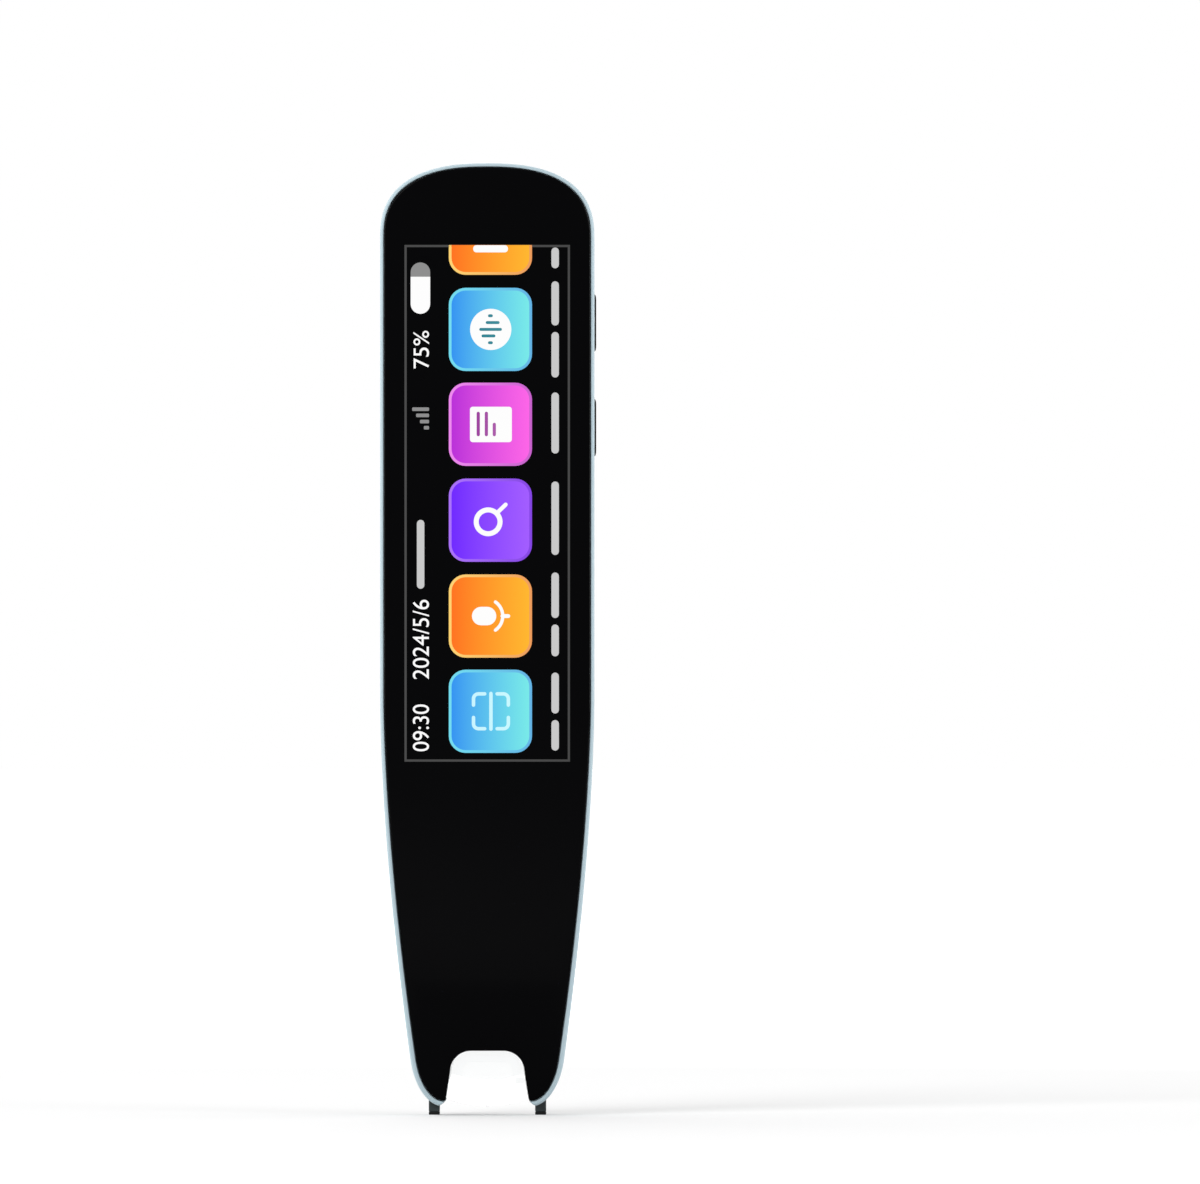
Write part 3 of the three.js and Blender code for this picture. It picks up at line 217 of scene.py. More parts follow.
def roundedBack(inset, draw, flatY, steps=12):
    # Depth levels of the back's rounded edge, from the flank to the flat
    flankY = case["rearFlank"]
    levels = []
    for i in range(steps + 1):
        turn = quarter * i / steps
        y = flankY + (flatY - flankY) * math.sin(turn)
        levels.append((y, draw * (1 - math.cos(turn)), inset))
    return levels


def roundedRect(low, high, radius, steps=6):
    (left, foot), (right, top) = low, high
    points = []
    for x, z, start in (
        (right - radius, top - radius, 0), (left + radius, top - radius, 1),
        (left + radius, foot + radius, 2), (right - radius, foot + radius, 3),
    ):
        for i in range(steps + 1):
            turn = quarter * (start + i / steps)
            points.append((x + radius * math.cos(turn), z + radius * math.sin(turn)))
    return points


def stadium(width, length, centre=(0, 0), steps=12):
    # A slot outline with half-round ends, long in its second direction
    radius = width / 2
    straight = length / 2 - radius
    points = []
    for i in range(steps * 2 + 2):
        turn = math.pi * (i - (i > steps)) / steps
        middle = centre[1] + (straight if i <= steps else -straight)
        points.append((centre[0] + radius * math.cos(turn), middle + radius * math.sin(turn)))
    return points


def disc(radius, centre=(0, 0), steps=32):
    points = []
    for i in range(steps):
        turn = 4 * quarter * i / steps
        points.append((centre[0] + radius * math.cos(turn), centre[1] + radius * math.sin(turn)))
    return points


axes = {  # how a flat outline lies across each axis
    "y": lambda a, b, depth: (a, depth, b),
    "x": lambda a, b, depth: (depth, a, b),
    "z": lambda a, b, depth: (a, b, depth),
}


def addRings(mesh, rings, closed=False, slot=0):
    # Walls through rings of points, capped at both ends unless they close on themselves
    made = [[mesh.verts.new(Vector(point) * mm) for point in ring] for ring in rings]
    pairs = list(zip(made, made[1:])) + ([(made[-1], made[0])] if closed else [])
    for a, b in pairs:
        for i in range(len(a)):
            mesh.faces.new((a[i], a[i - 1], b[i - 1], b[i])).material_index = slot
    if not closed:
        mesh.faces.new(made[0]).material_index = slot
        mesh.faces.new(made[-1][::-1]).material_index = slot


def addPrism(mesh, outline, axis, low, high, slot=0):
    lay = axes[axis]
    addRings(mesh, [[lay(a, b, depth) for a, b in outline] for depth in (low, high)], slot=slot)


def toObject(mesh, name):
    # Hands a finished mesh over to the scene
    bmesh.ops.recalc_face_normals(mesh, faces=mesh.faces)
    data = bpy.data.meshes.new(name)
    mesh.to_mesh(data)
    mesh.free()
    made = bpy.data.objects.new(name, data)
    scene.collection.objects.link(made)
    return made


def loft(name, loops):
    # A closed body through loops of (x, z) points, each with its own y
    mesh = bmesh.new()
    addRings(mesh, [[(x, y, z) for x, z in loop] for y, loop in loops])
    return toObject(mesh, name)


def prism(name, outline, axis, low, high):
    mesh = bmesh.new()
    addPrism(mesh, outline, axis, low, high)
    return toObject(mesh, name)


def block(name, low, high):
    (left, front, foot), (right, back, top) = low, high
    return prism(name, [(left, foot), (right, foot), (right, top), (left, top)], "y", front, back)


def settle(piece):
    # Makes a piece's modifiers part of its mesh
    graph = bpy.context.evaluated_depsgraph_get()
    data = bpy.data.meshes.new_from_object(piece.evaluated_get(graph))
    old = piece.data
    piece.modifiers.clear()
    piece.data = data
    data.name = piece.name
    bpy.data.meshes.remove(old)


def carve(piece, *tools, operation="DIFFERENCE"):
    for tool in tools:
        modifier = piece.modifiers.new("cut", "BOOLEAN")
        modifier.operation = operation
        modifier.solver = "EXACT"
        modifier.object = tool
        settle(piece)
        data = tool.data
        bpy.data.objects.remove(tool)
        bpy.data.meshes.remove(data)
    return piece


def surfaceOf(piece):
    # A tree that finds the nearest point of a piece's present surface
    mesh = bmesh.new()
    mesh.from_mesh(piece.data)
    tree = BVHTree.FromBMesh(mesh)
    mesh.free()
    return tree


mending = {  # how near points have to be, and the most sides that a face keeps
    "merge": 0.01, "skin": 0.004, "join": 0.003, "mostSides": 20,
}


def soften(piece, width, angle=35, segments=2, outside=None):
    # Rounds the edges, or only those on a given outside, and smooths the faces between them
    mesh = bmesh.new()
    mesh.from_mesh(piece.data)
    bmesh.ops.remove_doubles(mesh, verts=mesh.verts, dist=mending["merge"] * mm)
    bmesh.ops.dissolve_degenerate(mesh, edges=mesh.edges, dist=mending["merge"] * mm)
    wide = [face for face in mesh.faces if len(face.verts) > mending["mostSides"]]
    bmesh.ops.triangulate(mesh, faces=wide)
    for face in mesh.faces:
        face.smooth = True
    mark = mesh.edges.layers.float.new("bevel_weight_edge")
    for edge in mesh.edges:
        steep = edge.calc_face_angle(0) > math.radians(angle)
        edge.smooth = not steep
        if not steep:
            continue
        if not outside or all(outside.find_nearest(v.co)[3] < mending["skin"] * mm for v in edge.verts):
            edge[mark] = 1
    mesh.to_mesh(piece.data)
    mesh.free()
    if width:
        bevel = piece.modifiers.new("edges", "BEVEL")
        bevel.limit_method = "WEIGHT"
        bevel.width = width * mm
        bevel.segments = segments
        bevel.use_clamp_overlap = False
        bevel.loop_slide = False
        bevel.harden_normals = True
        weld = piece.modifiers.new("join", "WELD")  # where rounded edges meet in one point
        weld.merge_threshold = mending["join"] * mm
        settle(piece)
    return piece


def mount(piece, material, slot, *nodes, body="pen_body"):
    # Gives a piece its finish, its body and the CAD nodes that it stands for
    if material and not piece.data.materials:
        piece.data.materials.append(material)
    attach(piece, body)
    if nodes:
        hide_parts(*nodes)
    return piece


def linear(code, alpha=1):
    # An sRGB hex colour as the linear values that Blender takes
    channels = [int(code[i:i + 2], 16) / 255 for i in (1, 3, 5)]
    return [c / 12.92 if c <= 0.04045 else ((c + 0.055) / 1.055) ** 2.4 for c in channels] + [alpha]


def addNode(tree, kind, inputs=None, **settings):
    # Adds a node with its settings, and its inputs as values or as links
    node = tree.nodes.new(kind)
    for key, value in settings.items():
        setattr(node, key, value)
    for key, value in (inputs or {}).items():
        if isinstance(value, bpy.types.NodeSocket):
            tree.links.new(value, node.inputs[key])
        else:
            node.inputs[key].default_value = value
    return node


def blank(name):
    # A new material with only its output left
    material = bpy.data.materials.new(name)
    material.use_nodes = True
    tree = material.node_tree
    tree.nodes.clear()
    out = tree.nodes.new("ShaderNodeOutputMaterial")
    return material, tree, out


def grained(name, look):
    # A solid finish with its grain: colour, gloss and height vary at real sizes. Real mould grain
    # is 0.05 to 0.2 mm wide, and it is drawn towards its coarse end so that it shows
    material, tree, out = blank(name)
    place = addNode(tree, "ShaderNodeTexCoord").outputs["Object"]
    fine = addNode(tree, "ShaderNodeTexNoise", {
        "Vector": place, "Scale": 1 / (look["grain"] * mm), "Detail": 2, "Roughness": 0.6,
    })
    broad = addNode(tree, "ShaderNodeTexNoise", {
        "Vector": place, "Scale": 1 / (look.get("patch", 9) * mm), "Detail": 3,
    })
    tint = addNode(tree, "ShaderNodeMix", {  # a colour mix takes its colours at sockets 6 and 7
        0: broad.outputs["Fac"], 6: linear(look["colour"]), 7: linear(look["shade"]),
    }, data_type="RGBA")
    low, high = look["rough"]
    rough = addNode(tree, "ShaderNodeMapRange", {
        "Value": fine.outputs["Fac"], "To Min": low, "To Max": high,
    })
    bump = addNode(tree, "ShaderNodeBump", {
        "Height": fine.outputs["Fac"], "Strength": look["bump"], "Distance": look["height"] * mm,
    })
    shader = addNode(tree, "ShaderNodeBsdfPrincipled", {
        "Base Color": tint.outputs[2], "Roughness": rough.outputs["Result"],
        "Normal": bump.outputs["Normal"],
        "Metallic": look.get("metal", 0), "Specular IOR Level": look.get("specular", 0.4),
        "Sheen Weight": look.get("sheen", 0), "Sheen Roughness": look.get("soft", 0.4),
        "Emission Color": linear("#ffffff"), "Emission Strength": look.get("glow", 0),
    })
    tree.links.new(shader.outputs[0], out.inputs["Surface"])
    return material


def lit(name, look):
    # A lit part of the screen: its own light, in a colour that may run from left to right
    material, tree, out = blank(name)
    place = addNode(tree, "ShaderNodeTexCoord").outputs["Object"]
    across = addNode(tree, "ShaderNodeSeparateXYZ", {"Vector": place}).outputs["X"]
    left, right = look["span"]
    share = addNode(tree, "ShaderNodeMapRange", {
        "Value": across, "From Min": left * mm, "From Max": right * mm,
    })
    run = addNode(tree, "ShaderNodeMix", {
        0: share.outputs["Result"], 6: linear(look["left"]), 7: linear(look["right"]),
    }, data_type="RGBA")
    shader = addNode(tree, "ShaderNodeBsdfPrincipled", {
        "Base Color": linear("#000000"), "Roughness": 0.4, "Specular IOR Level": 0.03,
        "Emission Color": run.outputs[2], "Emission Strength": 1,
    })
    tree.links.new(shader.outputs[0], out.inputs["Surface"])
    return material


# A pale satin case: a soft blue grey that stays matt with a faint sparkle of grain
paleSatin = grained("pale_satin_plastic", {
    "colour": "#afc2ca", "shade": "#a9bdc5", "grain": 0.12, "rough": (0.34, 0.46),
    "bump": 0.25, "height": 0.01, "specular": 0.3,
})
# The back: a dark moulded grain that keeps reflections soft
charcoalGrain = grained("charcoal_moulded_grain", {
    "colour": "#070708", "shade": "#050506", "grain": 0.22, "rough": (0.27, 0.35),
    "bump": 0.2, "height": 0.006, "specular": 0.16, "sheen": 0.3, "soft": 0.35,
})
# A finer, slightly lighter grain that sets the inserts off
insertGrain = grained("charcoal_fine_grain", {
    "colour": "#131314", "shade": "#101011", "grain": 0.14, "rough": (0.3, 0.38),
    "bump": 0.2, "height": 0.005, "specular": 0.2,
})
# Duller than the back, so that the keys stay dark in its bright edge
keyRubber = grained("black_rubber_keys", {
    "colour": "#0d0d0e", "shade": "#0a0a0b", "grain": 0.16, "rough": (0.5, 0.62),
    "bump": 0.3, "height": 0.01, "specular": 0.12,
})
# A dull, hard-wearing plastic
footNylon = grained("grey_nylon_feet", {
    "colour": "#393f40", "shade": "#323839", "grain": 0.16, "rough": (0.42, 0.56),
    "bump": 0.3, "height": 0.014, "specular": 0.2,
})
# Matt rubber, nearly without shine
soleRubber = grained("black_sole_rubber", {
    "colour": "#1c1d1d", "shade": "#171818", "grain": 0.2, "rough": (0.7, 0.85),
    "bump": 0.4, "height": 0.02, "specular": 0.2,
})
# Bright wire with the soft shine of drawing
springSteel = grained("drawn_spring_steel", {
    "colour": "#9a9da1", "shade": "#8d9094", "grain": 0.1, "rough": (0.25, 0.38),
    "bump": 0.2, "height": 0.005, "metal": 1,
})
# Painted shade: black without shine on the walls of the sound holes and of the groove round the insert,
# where the depth lies in shade
paintedShadeBlack = grained("painted_shade_black", {
    "colour": "#050505", "shade": "#030303", "grain": 0.2, "rough": (0.7, 0.85),
    "bump": 0.2, "height": 0.01, "specular": 0.05,
})
# A flat dark grey, printed
lineInk = grained("dark_printed_ink", {
    "colour": "#515355", "shade": "#494b4d", "grain": 0.08, "rough": (0.5, 0.65),
    "bump": 0.2, "height": 0.004, "specular": 0.2,
})
# The print's white base, with a painted glow that stands in for the light that comes to it through the
# window
glowingUnderPrint = grained("painted_glow_white_base", {
    "colour": "#fdfdfd", "shade": "#f8f8f8", "grain": 0.08, "rough": (0.6, 0.75),
    "bump": 0.1, "height": 0.003, "specular": 0.2, "glow": 0.8,
})
# Painted shade: a thin matt grey line along the window's lower edge, where the clear edge shows dark
edgeShadeGrey = grained("matt_resin_painted_edge_shade", {
    "colour": "#a2a4a5", "shade": "#989a9b", "grain": 0.08, "rough": (0.6, 0.75),
    "bump": 0.2, "height": 0.004, "specular": 0.2,
})
# Toughened cover glass, printed black behind: it reads as one deep black with a thin shine
glassLook = {
    "colour": "#010102", "wave": 14, "smear": 6, "rough": (0.03, 0.09),
    "bump": 0.1, "height": 0.01, "specular": 0.03, "ior": 1.5,
}
# Acrylic, moulded and polished: it reads as a bright clear drop with fine grey edges
resinLook = {"colour": "#fdfefe", "smear": 5, "rough": (0, 0.03), "ior": 1.49}


def smeared(tree, place, look, detail):
    # Gloss that wipes and fingers leave a little uneven
    smear = addNode(tree, "ShaderNodeTexNoise", {
        "Vector": place, "Scale": 1 / (look["smear"] * mm), "Detail": detail,
    })
    low, high = look["rough"]
    return addNode(tree, "ShaderNodeMapRange", {
        "Value": smear.outputs["Fac"], "To Min": low, "To Max": high,
    }).outputs["Result"]


def blackGlass():
    # Deep black glass: almost no grain, and a faint waviness in what it mirrors
    material, tree, out = blank("deep_black_glass")
    place = addNode(tree, "ShaderNodeTexCoord").outputs["Object"]
    wave = addNode(tree, "ShaderNodeTexNoise", {
        "Vector": place, "Scale": 1 / (glassLook["wave"] * mm), "Detail": 1,
    })
    bump = addNode(tree, "ShaderNodeBump", {
        "Height": wave.outputs["Fac"], "Strength": glassLook["bump"],
        "Distance": glassLook["height"] * mm,
    })
    shader = addNode(tree, "ShaderNodeBsdfPrincipled", {
        "Base Color": linear(glassLook["colour"]), "Roughness": smeared(tree, place, glassLook, 4),
        "Normal": bump.outputs["Normal"], "Specular IOR Level": glassLook["specular"],
        "IOR": glassLook["ior"],
    })
    tree.links.new(shader.outputs[0], out.inputs["Surface"])
    return material


def clearResin():
    # Polished clear resin that takes in the white around it
    material, tree, out = blank("clear_polished_resin")
    place = addNode(tree, "ShaderNodeTexCoord").outputs["Object"]
    shader = addNode(tree, "ShaderNodeBsdfPrincipled", {
        "Base Color": linear(resinLook["colour"]), "Roughness": smeared(tree, place, resinLook, 3),
        "Transmission Weight": 1, "IOR": resinLook["ior"],
    })
    tree.links.new(shader.outputs[0], out.inputs["Surface"])
    return material


glassBlack = blackGlass()
resinClear = clearResin()

# The front frame and the glass that lies in it
glass = {
    "inset": 0.65, "tipInset": 0.25, "thick": 0.8, "edge": 0.3, "edgeSteps": 6, "backEdge": 0.1,
    "corner": 0.4, "room": 0.12,
}
rim = {
    "step": 0.35, "roundWidth": 0.38, "roundDepth": 0.75, "roundSteps": 8, "corner": 0.3,
    "ledgeFront": -4.75, "ledgeBack": -3.95, "archWall": 0.9, "archTop": 1.6,
    "openingBack": -1, "cavityBack": 2, "edge": 0.06, "angle": 40,
}
seamGroove = ((0, 1.05), (0.2, 1), (0.6, 0.35), (1.3, 0))  # depth and inset for a seam of 1 mm
port = {"y": 0.15, "height": 3.2, "width": 8.94, "room": 0.2, "low": 140, "high": 150}
screen = {"left": -12.73, "right": 12.73, "foot": 54.5, "top": 134, "border": 1.45}


def makeGlass():
    inset, tipInset, corner = glass["inset"], glass["tipInset"], glass["corner"]
    loops = []
    for i in range(glass["edgeSteps"] + 1):  # the polished front edge
        turn = quarter * i / glass["edgeSteps"]
        away = glass["edge"] * (1 - math.sin(turn))
        y = case["front"] + glass["edge"] * (1 - math.cos(turn))
        loops.append((y, penLoop(inset + away, tipInset, away, away, corner)))
    backY = case["front"] + glass["thick"]
    away = glass["backEdge"]
    loops.append((backY - away, penLoop(inset, tipInset, 0, 0, corner)))
    loops.append((backY, penLoop(inset + away, tipInset, away, away, corner)))
    piece = loft("glass_front", loops)
    soften(piece, 0)
    return mount(piece, glassBlack, "glass_black", "cover_glass")


def portSlot():
    room = port["room"] * 2
    mouth = stadium(port["height"] + room, port["width"] + room, (port["y"], 0), density["slot"])
    return prism("mouth", [(x, y) for y, x in mouth], "z", port["low"], port["high"])


def makeFrame():
    loops = []
    for i in range(rim["roundSteps"] + 1):
        turn = quarter * i / rim["roundSteps"]
        inset = rim["roundWidth"] * (1 - math.sin(turn))
        y = case["front"] + rim["step"] + rim["roundDepth"] * (1 - math.cos(turn))
        loops.append((y, penLoop(inset, 0, 0, 0, rim["corner"], True)))
    for away, inset in reversed(seamGroove):
        loop = penLoop(case["seam"] * inset, 0, 0, 0, rim["corner"], True)
        loops.append((-case["seam"] * away, loop))
    piece = loft("case_front", loops)
    pocket = mirrored(outerHalf(glass["inset"] - glass["room"], 0, glass["tipInset"]))
    wall = penLoop(case["wall"], 0, rim["archWall"], rim["archTop"], rim["corner"])
    border = screen["border"]
    carve(
        piece,
        loft("pocket", [(cut["farFront"], pocket), (rim["ledgeFront"], pocket)]),
        loft("cavity", [(rim["ledgeBack"], wall), (rim["cavityBack"], wall)]),
        block(
            "opening",
            (screen["left"] - border, cut["farFront"], screen["foot"] - border),
            (screen["right"] + border, rim["openingBack"], screen["top"] + border),
        ),
        portSlot(),
    )
    soften(piece, rim["edge"], rim["angle"])
    return mount(piece, paleSatin, "frame_pale", "front_frame")


makeGlass()
makeFrame()
print("glass and front frame made")

# The rear shell and what sits in it
shell = {
    "trimSide": 0.67, "trimTop": 1.72, "notchLow": -4, "plateHalf": 5.3, "plateTop": 14.5,
    "plateCorner": 0.8, "plateSeam": 0.07, "plateFront": 2, "innerBack": 4.45, "innerSteps": 6,
    "edge": 0.1, "angle": 38,
}
speaker = {
    "z": 127.5, "radius": 9.65, "groove": 0.4, "seat": 4.95, "neck": 8.4, "neckFoot": 4.55,
    "neckRoom": 0.2, "lap": 0.1, "rim": 0.12, "margin": 0.05, "edge": 0.08,
    "hole": 0.45, "holeFront": 3, "rings": ((3.667, 16), (5.452, 16), (7.257, 8)),
}
keys = {
    "y": 2.45, "z": {"power": 122.1, "function": 105.95}, "width": 2.2, "length": 9, "proud": 0.3,
    "room": 0.2, "innerX": 12.55, "flange": 0.5, "flangeLap": 0.8,
    "edge": 0.28, "edgeSteps": 5, "crown": (0.5, 0.75, 1),
}
mic = {"z": 114.02, "width": 1, "length": 1.2}
legs = {
    "outer": 9.05, "wide": 1.9, "foot": 1.7, "front": 1, "back": 4.3, "room": 0.2, "slotTop": 8.4,
    "slotBelow": 3, "step": 2.4, "slope": 0.6, "height": 14, "neckTop": 17, "lap": 0.2,
    "barFoot": 16.1, "barTop": 18.6, "barOut": 1.15, "barThick": 2, "travel": 1.2,
    "sole": 0.45, "soleLap": 0.02, "edge": 0.18, "soleEdge": 0.14, "angle": 30,
}


def outerLoops(proud=0):
    # The outside of the back half, or a skin just over it
    levels = roundedBack(-proud, case["rearDraw"], case["back"] + proud)
    return [(y, mirrored(outerHalf(inset, draw))) for y, draw, inset in levels]


def notchLoop(side, top, flare=False):
    half = notchHalf(side, top, low=shell["notchLow"], flare=flare)
    return mirrored(half[::-1])


def headPlate(seam, front):
    # The plate over the notch, or the cut that it lies in
    half, top = shell["plateHalf"] + seam, shell["plateTop"] + seam
    outline = roundedRect((-half, shoulderZ), (half, top), shell["plateCorner"])
    return prism("plate", outline, "y", front, cut["back"])


def paintDepthShade(piece, finish):
    # The finish outside, and black painted shade in the sound holes and in the groove round the insert
    piece.data.materials.append(finish)
    piece.data.materials.append(paintedShadeBlack)
    middle = Vector((0, speaker["z"])) * mm
    reach = (speaker["radius"] + speaker["groove"] + speaker["margin"]) * mm
    for face in piece.data.polygons:
        away = (Vector((face.center.x, face.center.z)) - middle).length
        if away < reach and face.center.y < (case["back"] - speaker["rim"]) * mm:
            face.material_index = 1


def makeShell():
    seam = case["seam"]
    start = [(seam * away, mirrored(outerHalf(seam * inset))) for away, inset in seamGroove]
    piece = loft("case_back", start + outerLoops())
    wall = case["wall"]
    inside = [(cut["front"], mirrored(outerHalf(wall)))]
    inner = roundedBack(wall, case["rearDraw"] - wall, shell["innerBack"], shell["innerSteps"])
    for y, draw, inset in inner:
        inside.append((y, mirrored(outerHalf(inset, draw))))
    middle = (0, speaker["z"])
    seat = disc(speaker["radius"] + speaker["groove"], middle, density["round"])
    neck = disc(speaker["neck"] + speaker["neckRoom"], middle, density["neck"])
    voice = stadium(mic["width"], mic["length"], (keys["y"], mic["z"]))
    cuts = [
        loft("inside", inside),
        prism("notch", notchLoop(shell["trimSide"], shell["trimTop"]), "y", cut["front"], cut["back"]),
        headPlate(shell["plateSeam"], shell["plateFront"]),
        prism("seat", seat, "y", speaker["seat"], cut["back"]),
        prism("neck", neck, "y", speaker["holeFront"], cut["back"]),
        prism("voice", voice, "x", *cut["side"]),
        portSlot(),
    ]
    room = keys["room"] * 2
    for z in keys["z"].values():
        hole = stadium(keys["width"] + room, keys["length"] + room, (keys["y"], z), density["slot"])
        cuts.append(prism("key", hole, "x", *cut["side"]))
    low = legs["outer"] - legs["wide"] - legs["room"]
    high = legs["outer"] + legs["room"]
    reach = legs["slotTop"] + legs["slotBelow"]
    for side in (1, -1):
        middle = (side * (low + high) / 2, legs["slotTop"] - reach / 2)
        slot = stadium(high - low, reach, middle)
        cuts.append(prism("slot", slot, "y", legs["front"] - legs["room"], cut["back"]))
    outside = surfaceOf(piece)
    carve(piece, *cuts)
    soften(piece, shell["edge"], shell["angle"], outside=outside)
    paintDepthShade(piece, charcoalGrain)
    return mount(piece, None, "shell_charcoal", "rear_shell")


def makeInsert():
    middle = (0, speaker["z"])
    face = disc(speaker["radius"], middle, density["round"])
    neck = disc(speaker["neck"], middle, density["neck"])
    piece = prism("sound_insert", face, "y", speaker["seat"], case["back"])
    neck = prism("neck", neck, "y", speaker["neckFoot"], speaker["seat"] + speaker["lap"])
    carve(piece, neck, operation="UNION")
    holes = bmesh.new()
    for radius, count in speaker["rings"]:
        for i in range(count):
            turn = 4 * quarter * i / count
            place = (radius * math.sin(turn), speaker["z"] + radius * math.cos(turn))
            hole = disc(speaker["hole"], place, density["hole"])
            addPrism(holes, hole, "y", speaker["holeFront"], cut["back"])
    carve(piece, toObject(holes, "holes"))
    soften(piece, speaker["edge"], shell["angle"])
    paintDepthShade(piece, insertGrain)
    return mount(piece, None, "insert_charcoal", "speaker_grille")


def crownAt(y):
    # How far out a button's crown stands, which depends on the depth
    flankY, reach = case["rearFlank"], case["back"] + keys["proud"]
    turn = math.asin(min(max((y - flankY) / (reach - flankY), 0), 1))
    return halfWidth + keys["proud"] - case["rearDraw"] * (1 - math.cos(turn))


def makeButton(name):
    # A long key with a flange inside and a crown that follows the case's side
    def outline(inset, lap=0):
        width, length = keys["width"] - inset * 2, keys["length"] - inset * 2 + lap * 2
        return stadium(width, length, (keys["y"], keys["z"][name]), density["slot"])

    flangeX = keys["innerX"] + keys["flange"]
    flange = outline(0, keys["flangeLap"])
    rings = [[(x, y, z) for y, z in flange] for x in (keys["innerX"], flangeX)]
    rings.append([(flangeX, y, z) for y, z in outline(0)])
    for i in range(keys["edgeSteps"] + 1):
        turn = quarter * i / keys["edgeSteps"]
        drop = keys["edge"] * (1 - math.sin(turn))
        inset = keys["edge"] * (1 - math.cos(turn))
        rings.append([(crownAt(y) - drop, y, z) for y, z in outline(inset)])
    for inset in keys["crown"]:
        rings.append([(crownAt(y), y, z) for y, z in outline(inset)])
    mesh = bmesh.new()
    addRings(mesh, rings)
    piece = toObject(mesh, f"{name}_key")
    soften(piece, 0)
    return mount(piece, keyRubber, "button_black", f"{name}_button", body=f"{name}_key")


makeShell()
makeInsert()
for name in keys["z"]:
    makeButton(name)
print("rear shell, sound insert and buttons made")

# The scan head, with its cover, its clear window, the line to aim with and the feet
head = {
    "trimFlank": 0.55, "trimTop": 1.6, "plateThick": 1.25, "edge": 0.07,
    "seatHalf": 4.2, "seatFront": 0.5, "seatFoot": 9.1, "seatTop": 10.9,  # where the window's flange lies
    "sightLow": (-3.9, 0.7, 9), "sightHigh": (3.9, 2.5, 13),  # what the camera looks through
}
window = {
    "room": 0.1, "low": 1.3, "sagitta": 1.2, "front": 3.2, "back": 5, "edge": 0.12, "bend": 0.3,
    "matt": 4.4, "downward": -0.2, "flat": 0.95,
}
guide = {"width": 0.6, "height": 3.1, "foot": 1.35, "ink": (0.04, 0.1), "under": (0.005, 0.038)}


def makeHeadCover():
    outline = notchLoop(head["trimFlank"], head["trimTop"])
    arch = prism("head_cover", outline, "y", 0, cut["back"])
    carve(arch, headPlate(0, case["back"] - head["plateThick"]), operation="UNION")
    skin = loft("skin", [(cut["front"], mirrored(outerHalf()))] + outerLoops())
    carve(arch, skin, operation="INTERSECT")
    half = head["seatHalf"]
    carve(
        arch,
        prism("notch", notchLoop(0, 0, True), "y", cut["front"], cut["back"]),
        block(
            "seat",
            (-half, head["seatFront"], head["seatFoot"]),
            (half, window["back"] + window["room"], head["seatTop"]),
        ),
        block("sight", head["sightLow"], head["sightHigh"]),
    )
    soften(arch, head["edge"], shell["angle"])
    return mount(arch, insertGrain, "insert_charcoal", "scan_head_cover")


def windowHalf(room):
    # The right half of the window's outline, from its lowest point up to its top middle
    flat = notch["flat"] / 2
    rise = window["sagitta"]
    share = (window["low"] + rise - case["foot"]) / (shoulderZ - case["foot"])
    half = mix(notch["mouth"], notch["shoulder"], share) / 2 - room
    bow = (half * half + rise * rise) / (2 * rise)
    middleZ = window["low"] + room - window["room"] + bow
    points = []
    for i in range(density["bow"] + 1):
        x = half * i / density["bow"]
        points.append((x, middleZ - math.sqrt(bow * bow - x * x)))
    across = notch["shoulder"] / 2 - room - flat
    for i in range(density["notchTop"] + 1):
        turn = quarter * i / density["notchTop"]
        z = shoulderZ + (notch["round"] - room) * math.sin(turn)
        points.append((flat + across * math.cos(turn), z))
    return points + [(0, notchTopZ - room)]


def makeWindow():
    front, back, matt, edge = window["front"], window["back"], window["matt"], window["edge"]
    bend = edge * window["bend"]
    levels = (
        (front, edge), (front + bend, bend), (front + edge, 0), (matt, 0),
        (back - edge, 0), (back - bend, bend), (back, edge),
    )
    loops = [(y, mirrored(windowHalf(window["room"] + away))) for y, away in levels]
    piece = loft("nib_window", loops)
    soften(piece, 0)
    piece.data.materials.append(resinClear)
    piece.data.materials.append(edgeShadeGrey)
    for face in piece.data.polygons:  # the rear half of the lower edge gets the matt grey of painted shade
        lower = face.normal.z < window["downward"] and abs(face.normal.y) < window["flat"]
        if lower and face.center.y > matt * mm:
            face.material_index = 1
    return mount(piece, None, "window_clear", "scan_window")


def makeGuideLine():
    mesh = bmesh.new()
    centre = (0, guide["foot"] + guide["height"] / 2)
    outline = stadium(guide["width"], guide["height"], centre, density["line"])
    for slot, layer in enumerate(("ink", "under")):
        low, high = guide[layer]
        addPrism(mesh, outline, "y", window["back"] + low, window["back"] + high, slot)
    piece = toObject(mesh, "aiming_line")
    piece.data.materials.append(lineInk)
    piece.data.materials.append(glowingUnderPrint)
    return mount(piece, None, "line_ink", "guide_line")


